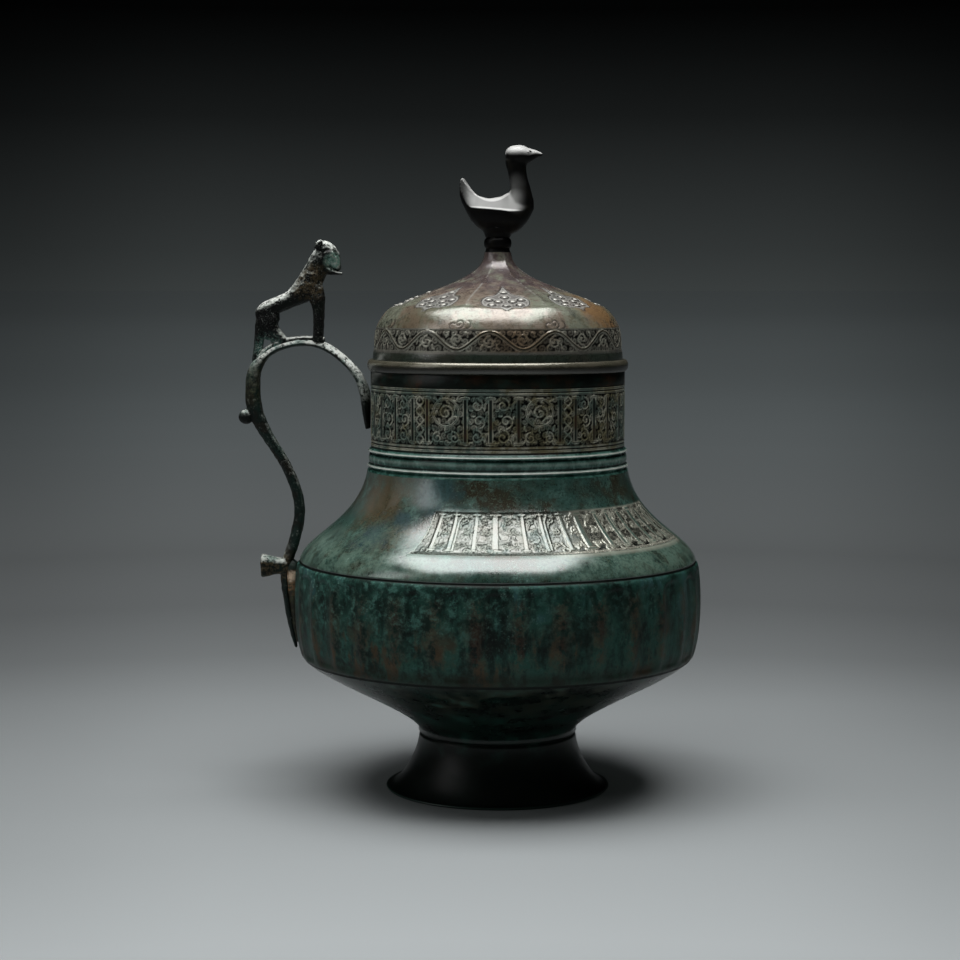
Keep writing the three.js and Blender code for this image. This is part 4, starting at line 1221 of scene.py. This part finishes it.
def make_beads():
    far = travelled(DOME_LINE)
    start = np.interp(MEDALLION_FROM, DOME_LINE[:, 1], far)
    lines = np.concatenate([DOME_LINE, inside(DOME_LINE, -1.0) - DOME_LINE], 1)
    points, leans = [], []
    for k in range(FACETS):
        for a, b in BEADS:
            r, z, out, up = (np.interp(start + b, far, line) for line in lines.T)
            turn = FACET_TURN + 2 * FACET_HALF * k + math.degrees(a / r)
            s, c = math.sin(math.radians(turn)), math.cos(math.radians(turn))
            r = r * facet_scale(turn, z)[0] - 0.1 * out
            points.append((r * s, -r * c, z - 0.1 * up))
            leans.append((out * s, -out * c, up))
    piece = raw_piece("medallion_beads", points)
    layer = piece.data.attributes.new("lean", "FLOAT_VECTOR", "POINT")
    layer.data.foreach_set("vector", np.array(leans, np.float32).ravel())
    grow(piece, bead_tree(), {"Bead radius": 1.45 * MM, "Metal": BEAD_METAL})
    settle(piece, "lid", "lid_bronze")


def make_rim_ring():
    outline = np.concatenate([[(64.6, RIM)], rounded(65.2, RIM + 3, 1.8, 3.0, 90, 17), [(64.6, RIM + 6)]])
    settle(turned("lid_rim", outline, 256, BRASS, 60), "lid", "worn_brass", "lid_rim_ring")


def make_collar():
    bore, low, high = 3.3, DOME_TOP, COLLAR_TOP
    bead = rounded(5.9, 281.6, 1.15, 2.6, 80, 13)
    outline = np.concatenate([[(bore, low), (6.6, low), (6.1, low + 1.2)], bead, [(6.0, high), (bore, high)]])
    settle(turned("finial_bead", outline, 64, BIRD, 45), "lid", "lid_bronze", "finial_collar")


# Lofted and cast pieces
def smooth_path(points, per):
    """Centripetal curve through the points."""
    p = np.asarray(points, float)
    p = np.concatenate([[2 * p[0] - p[1]], p, [2 * p[-1] - p[-2]]])
    out = []
    for i in range(1, len(p) - 2):
        a, b, c, d = p[i - 1:i + 3]
        ab, bc, cd = (max(np.linalg.norm(step[:2]) ** 0.5, 1e-4) for step in (b - a, c - b, d - c))
        t1 = ((b - a) / ab - (c - a) / (ab + bc) + (c - b) / bc) * bc
        t2 = ((c - b) / bc - (d - b) / (bc + cd) + (d - c) / cd) * bc
        last = i == len(p) - 3
        for t in np.linspace(0, 1, per + last, endpoint=last):
            out.append(b + t1 * t + (3 * (c - b) - 2 * t1 - t2) * t**2 + (2 * (b - c) + t1 + t2) * t**3)
    return np.array(out)


def tube(rings):
    """Points and faces of a closed tube through rings of points."""
    count, sides = rings.shape[:2]
    a = np.arange(count - 1)[:, None] * sides + np.arange(sides)
    b = np.arange(count - 1)[:, None] * sides + np.roll(np.arange(sides), -1)
    faces = np.stack([a, a + sides, b + sides, b], 2).reshape(-1, 4).tolist()
    ends = [list(range(sides)), list(range(count * sides - 1, (count - 1) * sides - 1, -1))]
    return rings.reshape(-1, 3), faces + ends


def limb(start, *stations, sides=16, per=5, power=2.0, side=0.0, lean=0.0):
    """A limb along x and z. A station is x and z from the start, thickness in that plane, breadth.

    With lean the section is narrower on its outer side, so that its flanks face a little outwards.
    """
    path = smooth_path(np.add(stations, (*start, 0, 0)), per)
    along = directions(path[:, :2])
    turn = angles(sides)
    c, n = (np.sign(w) * np.abs(w) ** (2 / power) for w in (np.cos(turn), np.sin(turn)))
    out = path[:, 2:3] / 2 * c
    across = path[:, 3:4] / 2 * n * (1 - lean * c)
    x, z = path[:, 0:1] - along[:, 1:2] * out, path[:, 1:2] + along[:, 0:1] * out
    return tube(np.stack([x, side + across, z], 2))


def relaxed(piece, rounds, group=""):
    relax = piece.modifiers.new("relax", "SMOOTH")
    relax.iterations, relax.factor, relax.vertex_group = rounds, 0.5, group


def fused(name, parts, finish, voxel, joins=()):
    """One cast piece out of closed parts that overlap. A join is a rounder joint: x, y, z, reach, rounds."""
    points, faces, base = [], [], 0
    for places, sides in parts:
        fans = [[s[0], s[k], s[k + 1]] for s in sides for k in range(1, len(s) - 1)]
        faces += (np.array(facing_out(places, fans)) + base).tolist()
        points.append(places)
        base += len(places)
    piece = raw_piece(name, np.concatenate(points), faces)
    remesh = piece.modifiers.new("remesh", "REMESH")
    remesh.mode = "VOXEL"
    remesh.voxel_size = voxel * MM
    remesh.use_smooth_shade = True
    relaxed(piece, 2)
    baked(piece)
    for *centre, reach, rounds in joins:
        places = np.empty(3 * len(piece.data.vertices), np.float32)
        piece.data.vertices.foreach_get("co", places)
        far = np.linalg.norm(places.reshape(-1, 3) / MM - np.add(centre, (AXIS_X, 0, 0)), axis=1)
        group = piece.vertex_groups.new(name="join")
        for index in np.flatnonzero(far < reach):
            group.add([int(index)], float(min(1.0, 2 * (1 - far[index] / reach))), "REPLACE")
        relaxed(piece, rounds, "join")
        baked(piece)
        piece.vertex_groups.clear()
    piece.data.materials.clear()
    piece.data.materials.append(finish)
    return piece


def ball(x, y, z, r, squash=(1, 1, 1), sides=18, rings=12):
    tilt = np.linspace(-0.5, 0.5, rings + 1) * math.pi
    points, faces = turned_solid(np.stack([r * np.cos(tilt), r * np.sin(tilt)], 1), sides)
    return points[:, (1, 0, 2)] * (-1, 1, 1) * squash + (x, y, z), faces


def hammered(mesh, amount, size, share=None):
    """Roughens a cast surface: amount in millimetres, size of the dents in millimetres."""
    places, normals = (np.empty(3 * len(mesh.vertices), np.float32) for _ in range(2))
    mesh.vertices.foreach_get("co", places)
    mesh.vertex_normals.foreach_get("vector", normals)
    places, normals = places.reshape(-1, 3), normals.reshape(-1, 3)
    deep = np.array([noise.fractal(Vector(place), 1.0, 2.1, 4) for place in places / (size * MM)])
    if share is not None:
        deep *= share(places)
    mesh.vertices.foreach_set("co", (places + normals * deep[:, None] * amount * MM).ravel())
    mesh.update()


# Handle: a station is how far out from the wall, how far above the wall's top edge, thickness and breadth
def belly_r(z):
    return float(np.interp(z, DRUM_LINE[:, 1], DRUM_LINE[:, 0]))


def from_rim(out, up, *section):
    return (-(NECK_R + out), RIM + up, *section)


def from_belly(out, up, *section):
    return (-(belly_r(DRUM_TOP + up) + out), DRUM_TOP + up, *section)


ELBOW = (60.3, -18.5, 8.2, 8)
CREST = (34.7, 14.8, 4.4, 8)
ARM = (
    (1.5, -30, 2.6, 5), (2.2, -21.5, 4.4, 10), (3, -12, 5.6, 9), (6.1, -3.5, 4.9, 8), (11.1, 3, 4.4, 8),
    (18.7, 9.5, 4.3, 8), (26.5, 13.6, 4.4, 8), CREST, (45.2, 13, 4.4, 8), (54.3, 8.2, 4.8, 8),
    (59.9, -0.5, 7, 8), (60.9, -9, 7.8, 8), ELBOW, (57.6, -26, 7.2, 7.5),
)
TAIL = (
    (16.5, 63, 6, 7), (7.8, 48.9, 5.4, 6.6), (1.6, 33.5, 5.5, 6.4), (0.5, 22, 5.6, 6.4),
    (3.4, 8.5, 5.7, 6.6), (5.7, -2, 5.6, 6.8), (5.7, -10.5, 4.6, 6.1), (4.6, -22.1, 3.3, 5.5),
    (3.5, -30.5, 3.2, 5.1), (2.7, -38.9, 2.7, 4.3), (2.5, -47, 1.4, 2.7),
)
SOLDER_RUN = (
    (4.4, -1.5, 4.6, 5.6), (2.4, -5, 8.0, 8.4), (1.6, -13, 7.6, 7.6), (1.0, -22, 5.6, 6),
    (1.0, -37, 3.8, 4.2), (0.8, -44, 2.6, 2.6),
)


def clear_of_vessel(mesh, gap=0.3):
    """Pushes a piece's points out of the neck and the belly, as the solids are cut."""
    for v in mesh.vertices:
        x, y, z = v.co.x / MM - AXIS_X, v.co.y / MM, v.co.z / MM
        limit = 0.0
        if SHOULDER_TOP < z < RIM:
            limit = NECK_R + gap
        elif BOWL_TOP < z < DRUM_TOP:
            limit = belly_r(z) + gap
        r = math.hypot(x, y)
        if 0 < r < limit:
            v.co.x = (AXIS_X + x * limit / r) * MM
            v.co.y = y * limit / r * MM


def make_handle():
    path = [from_rim(*station) for station in ARM] + [from_belly(*station) for station in TAIL]
    bar = limb((0, 0), *path, sides=24, per=8, power=2.2, lean=-0.35)
    ex, ez, thick, _ = from_rim(*ELBOW)
    stub = ball(ex - thick / 2 - 0.2, 0, ez - 5.4, 3.8)
    knob = limb(
        from_belly(6.1, -4.2), (1.5, 0, 7.6, 7.4), (-4, 0, 8.8, 8.6), (-9, 0, 10.9, 10.4),
        (-12.0, 0.1, 12.2, 11.4), (-12.5, 0.1, 11.4, 10.8), sides=20, per=4, power=2.6,
    )
    piece = fused("handle_bar", [bar, stub, knob], HANDLE, 0.5)
    hammered(piece.data, 0.2, 3.5)
    clear_of_vessel(piece.data)
    settle(piece, "vessel", "handle_patina", "handle")


def make_solder():
    run = limb((0, 0), *(from_belly(*station) for station in SOLDER_RUN))
    piece = fused("solder_bead", [run], SOLDER, 0.4)
    clear_of_vessel(piece.data, gap=-1.3)
    settle(piece, "vessel", "solder", "handle_solder")


# Beast: places are counted from the top of the arch
ARCH = from_rim(CREST[0], CREST[1] + CREST[2] / 2)


def make_beast():
    part = functools.partial(limb, ARCH)
    parts = [
        part(
            (-23.0, 9.6, 3, 3), (-21.8, 12.4, 6, 6.6), (-18.4, 14.4, 8.4, 8.4), (-12.6, 16.8, 8.4, 8),
            (-6, 19.8, 9.0, 8.4), (0.2, 24.0, 12.4, 9.2), (4.6, 30.2, 12.4, 8.8), (7.8, 37, 11.0, 8.4),
            (10.2, 42, 10.4, 8.2), (11.4, 45.4, 6, 6),
        ),
        part(
            (8.2, 44.0, 4, 4), (10.4, 45.4, 8.2, 8.2), (12.8, 44.0, 9.0, 8.6), (15.0, 41.4, 8.4, 7.4),
            (16.6, 38.4, 6.4, 6.0), (18.0, 36.0, 4.0, 4.6), (19.2, 34.6, 1.8, 2.6),
        ),
        part(
            (8, 36.4, 5, 5), (12.4, 34.4, 4.6, 5.4), (16.2, 33.1, 2.6, 4.4), (20.2, 32.5, 1.2, 2.4),
            sides=12,
        ),
        part(
            (-21.0, 13, 5, 4.4), (-21.6, 8, 6.0, 5.4), (-22.3, 2, 5.4, 5), (-23.0, -4, 5.0, 4.6),
            (-24.0, -10, 4.6, 4.2), (-25.4, -16, 2.6, 2.8), sides=12,
        ),
        part(
            (-17.8, 14, 9, 5), (-18.0, 9, 11.0, 6.2), (-18.4, 4, 9.4, 6.0), (-18.8, 0.6, 8.0, 5.4),
            (-19.2, -0.8, 6, 4),
        ),
        part(
            (-17.0, 3, 4, 5), (-14.6, -1.0, 4.2, 5.4), (-14.6, -4.0, 5.6, 5.6), (-15.4, -7, 4, 5),
            sides=12,
        ),
        part(
            (-23.8, -11.6, 3, 5), (-20.4, -9.4, 5.0, 6), (-16, -5.6, 5.0, 6.5), (-10, -2.6, 4.2, 6.5),
            (-4, -1.0, 3.2, 6.5), (4, -0.6, 3.0, 6.5), (11, -1.6, 3.6, 6.5), sides=12, power=3,
        ),
    ]
    for way in (-1, 1):
        parts += [
            ball(ARCH[0] + 13.6, way * 3.9, ARCH[1] + 42.8, 1.7, (1.6, 0.8, 1.0)),
            part((8.0, 45.0, 4, 2.6), (8.8, 48, 3.6, 2.4), (9.8, 49.8, 1.4, 1.2), sides=12, side=way * 3.0),
            part(
                (4.4, 33, 4, 1.4), (5.4, 28, 8, 3.2), (6.8, 22, 8.8, 4.6), (8.0, 15, 6.2, 4.6),
                (8.0, 7, 5.4, 4.4), (7.8, 2, 5.2, 4.6), (7.8, -2.2, 5.8, 4.8), sides=12, side=way * 2.3,
            ),
            part(
                (-15.6, 18, 4, 1.4), (-16.4, 15.4, 8.4, 3.4), (-17.2, 12, 10.4, 5.0),
                (-17.2, 7, 9.6, 5.4), (-15.0, 3.4, 6.4, 4.6), (-12.2, 0.6, 4.8, 4.4),
                (-9.4, -1.2, 3.0, 4), sides=12, side=way * 1.9,
            ),
        ]
    joins = [(ARCH[0] + x, 0, ARCH[1] + z, reach, 25) for x, z, reach in ((-18, 12.5, 7.5), (5, 24, 8))]
    piece = fused("beast", parts, BEAST, 0.38, joins)
    mane = np.array((AXIS_X + MANE[0], 0, MANE[2])) * MM

    def rougher(places):
        return 1.0 + 1.8 * np.clip(1 - np.linalg.norm(places - mane, axis=1) / (13 * MM), 0, 1)

    hammered(piece.data, 0.2, 2.8, rougher)
    settle(piece, "vessel", "handle_patina", "handle_lion")


# Bird: places are counted from the collar's top
BIRD_HULL = (
    (-19.5, 25.0, 0.9, 28.6, 22.0), (-18.8, 23.0, 1.6, 29.8, 18.6), (-17.4, 19.5, 2.6, 30.0, 15.8),
    (-15.8, 16.6, 4.2, 28.0, 12.4), (-13.8, 15.2, 6.4, 24.7, 9.0), (-10.5, 14.9, 8.8, 21.1, 5.2),
    (-4.8, 14.4, 10.2, 19.5, 1.8), (2, 13.8, 10.4, 20.6, 0.9), (6, 13.2, 9.8, 23.0, 1.2),
    (11, 13.4, 8.2, 24, 3.6), (14.6, 14.2, 6.0, 23.5, 7.4), (17.2, 15.4, 3.4, 21.5, 11.4),
    (18.5, 17.0, 0.8, 19.5, 15.0),
)


def bird_body():
    """Hull with a crisp edge along each side: x, ridge height, half breadth, back height, keel height."""
    keys = np.array(BIRD_HULL)
    tail, breast = keys[0, 0], keys[-1, 0]
    xs = np.concatenate([np.linspace(tail, -13.8, 24, endpoint=False), np.linspace(-13.8, breast, 60)])
    weights = np.hanning(9)[1:-1] / np.hanning(9).sum()
    padded = (np.pad(np.interp(xs, keys[:, 0], keys[:, i]), 3, "edge") for i in (1, 2, 3, 4))
    ridge, half, back, keel = (np.convolve(line, weights, "valid")[:, None] for line in padded)
    # A flat flank rises from the side edge to the back's own edge, and the underside is round
    rise = np.linspace(0, 1, 8)
    flat = np.linspace(1, -1, 7)[1:-1]
    under = np.linspace(0, math.pi, 26)[1:-1]
    back_edge = np.clip(1 - 0.92 * (back - ridge) / half, 0.12, 0.9)
    flank = 1 - (1 - back_edge) * rise
    ring_y = np.concatenate([flank, back_edge * flat, -flank[:, ::-1], -np.cos(under) + 0 * half], 1)
    ring_up = np.concatenate([rise, 1 + 0.04 * (1 - flat**2), rise[::-1], 0 * under])
    ring_down = np.concatenate([np.zeros(21), np.sin(under) ** 0.9])
    z = COLLAR_TOP + ridge + (back - ridge) * ring_up - (ridge - keel) * ring_down
    return tube(np.stack([xs[:, None] + 0 * z, half * ring_y, z], 2))


def make_bird():
    tang, head = 3.0, 4.2
    low, rove = 268.5, 271.6
    stem = turned_solid([
        (0, low), (head, low + 1), (head, rove), (tang, rove), (tang, COLLAR_TOP), (6.3, COLLAR_TOP),
        (7.0, 286.6), (8.5, 289.2), (5.0, 294.0), (0, 294.0),
    ], 32)
    part = functools.partial(limb, (0, COLLAR_TOP), sides=24)
    neck = part(
        (9, 14, 12, 12), (11.6, 19, 12.6, 11.2), (11.6, 24, 10.8, 9.6), (10.7, 29, 9.4, 8.6),
        (9.8, 34, 9.6, 8.4), (9.4, 39, 11.2, 9.4), (10.6, 43, 9, 8),
    )
    head = part(
        (4.0, 40.8, 3, 3), (6.0, 41.3, 8.6, 8.4), (10.6, 41.7, 10.6, 11.4), (14.4, 41.7, 9.0, 9.4),
        (17.0, 42.0, 6.4, 6.4), (19.6, 42.3, 4.0, 4.0), (22.7, 42.1, 1.4, 1.2),
    )
    eyes = [ball(15.2, way * 3.3, COLLAR_TOP + 43.2, 0.8) for way in (-1, 1)]
    joins = ((13.0, 0, 304.5, 11.5, 45), (9.0, 0, 324.0, 7.5, 30))
    piece = fused("bird", [stem, bird_body(), neck, head, *eyes], BIRD, 0.4, joins)
    settle(piece, "lid", "dark_bronze", "bird_finial")


make_foot()
make_bowl()
make_belly()
make_shoulder()
make_neck()
make_neck_band()
make_lid()
make_beads()
make_rim_ring()
make_collar()
make_handle()
make_solder()
make_beast()
make_bird()

for node, finish in (("lid_flange", INNER), ("finial_rove", BRASS)):
    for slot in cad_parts[node].material_slots:
        slot.material = finish


# Floor, background and light
NEAREST = 0.847  # from the camera to the floor at the picture's lower edge
# Grey of the floor from the horizon (0) to the picture's lower edge (1); it paints the lamps' pool of light
# and its falloff into the floor's colour
FLOOR_GREYS = (
    (0.0, 0.46), (0.09, 0.66), (0.17, 0.71), (0.24, 0.66), (0.32, 0.44), (0.39, 0.27), (0.47, 0.205),
    (0.55, 0.225), (0.62, 0.30), (0.70, 0.35), (0.78, 0.385), (0.86, 0.415), (1.0, 0.50),
)
# Painted glow of the far floor, seen only directly and in reflections, where the backdrop curves up behind
# the lamps' reach
FLOOR_GLOW = (
    (0.0, 0.0267), (0.034, 0.0295), (0.06, 0.037), (0.09, 0.041), (0.13, 0.045), (0.17, 0.052),
    (0.205, 0.053), (0.24, 0.046), (0.32, 0.025), (0.39, 0.008), (0.47, 0.004), (0.62, 0.003),
    (0.78, 0.0),
)
# Grey of the background from the horizon (0) up to the picture's upper edge (1), a painted falloff of the
# light upwards
SKY_GREYS = (
    (0.0, 0.0468), (0.04, 0.0455), (0.18, 0.0345), (0.36, 0.0245), (0.64, 0.0095), (0.85, 0.004),
    (1.0, 0.001)
)
SKY_LOW, SKY_HIGH = -0.005, 0.125
SOFT_LIGHT = (0.035, 0.038, 0.036)  # what the surroundings give to the metal and the floor
COOL = (0.94, 1.0, 1.02)
COOL_DARK = (0.88, 1.0, 1.00)
COOL_FAR = (0.88, 1.0, 1.06)
NOTHING = (0.0, 0.0, 0.0)
SIDE = 0.2207  # tangent of half the picture's width


def grey_ramp(g, value, greys, tint):
    ramp = g.node("ShaderNodeValToRGB", {"Fac": value})
    stops = ramp.socket.node.color_ramp.elements
    while len(stops) < len(greys):
        stops.new(0.5)
    for stop, (place, level) in zip(stops, greys):
        stop.position, stop.color = place, (*(level * c for c in tint), 1.0)
    return ramp


def darker_sides(g, colour, sideways, share):
    """Darkens a colour where the sideways value nears the picture's edges, as painted shade."""
    return g.mix(colour, NOTHING, abs(sideways).step(SIDE * 0.55, SIDE * 1.1) * share)


def seen_directly(g):
    """1 for what the camera sees, also in polished metal; 0 for light that falls on something."""
    rays = ("Is Camera Ray", "Is Glossy Ray", "Is Transmission Ray")
    return functools.reduce(Wire.most, (g.node("ShaderNodeLightPath", out=ray) for ray in rays))


def make_floor():
    half = 300.0
    corners = [(-half, -half, 0), (half, -half, 0), (half, half, 0), (-half, half, 0)]
    mesh = bpy.data.meshes.new("floor")
    mesh.from_pydata(corners, [], [[0, 1, 2, 3]])
    material = bpy.data.materials.new("plain floor")
    material.use_nodes = True
    mesh.materials.append(material)
    g = Graph(material.node_tree)
    place = g.node("ShaderNodeTexCoord", out="Object")
    # The grey follows the distance from the camera's stand, and farther off the distance from the jug
    away = g.distance(place, (AXIS_X * MM, -CAMERA_BACK, 0))
    round_jug = g.distance(place, (AXIS_X * MM, 0, 0))
    away = (away + (round_jug + CAMERA_BACK - away) * round_jug.step(0.35, 0.9)).most(0.3)
    near = NEAREST / away
    sideways = (place.axes()[0] - AXIS_X * MM) / away
    glow = darker_sides(g, grey_ramp(g, near, FLOOR_GLOW, COOL_FAR), sideways, 0.4)
    values = {
        "Base Color": darker_sides(g, grey_ramp(g, near, FLOOR_GREYS, COOL), sideways, 0.4 - near * 0.33),
        "Emission Color": g.mix(NOTHING, glow, seen_directly(g)),
        "Emission Strength": 1.0, "Roughness": 0.9, "Specular IOR Level": 0.1,
    }
    for key, value in values.items():
        g.put(g.tree.nodes["Principled BSDF"].inputs[key], value)
    placed("floor", mesh)


def make_world():
    world = bpy.data.worlds.new("studio")
    world.use_nodes = True
    bpy.context.scene.world = world
    g = Graph(world.node_tree)
    x, _, z = g.node("ShaderNodeTexCoord", out="Generated").axes()
    share = g.node("ShaderNodeMapRange", {"Value": z, "From Min": SKY_LOW, "From Max": SKY_HIGH}, clamp=True)
    seen = darker_sides(g, grey_ramp(g, share, SKY_GREYS, COOL_DARK), x, 0.4 + share * 0.15)
    back = g.tree.nodes["Background"].inputs
    g.put(back["Color"], g.mix(SOFT_LIGHT, seen, seen_directly(g)))
    g.put(back["Strength"], 1.0)


def lamp(name, place, aim, size, power):
    data = bpy.data.lights.new(name, "AREA")
    data.shape = "RECTANGLE"
    data.size, data.size_y = size
    data.energy = power
    made = placed(name, data)
    made.location = place
    made.rotation_euler = (Vector(aim) - Vector(place)).to_track_quat("-Z", "Y").to_euler()


make_floor()
make_world()
lamp("top softbox", (-0.065, -0.11, 1.20), (-0.065, -0.11, 0.0), (1.18, 0.82), 16.2)
lamp("left softbox", (-1.3, -0.5, 0.9), (0.0, 0.0, 0.2), (0.5, 0.9), 1.8)

bpy.context.scene.view_settings.view_transform = "Standard"
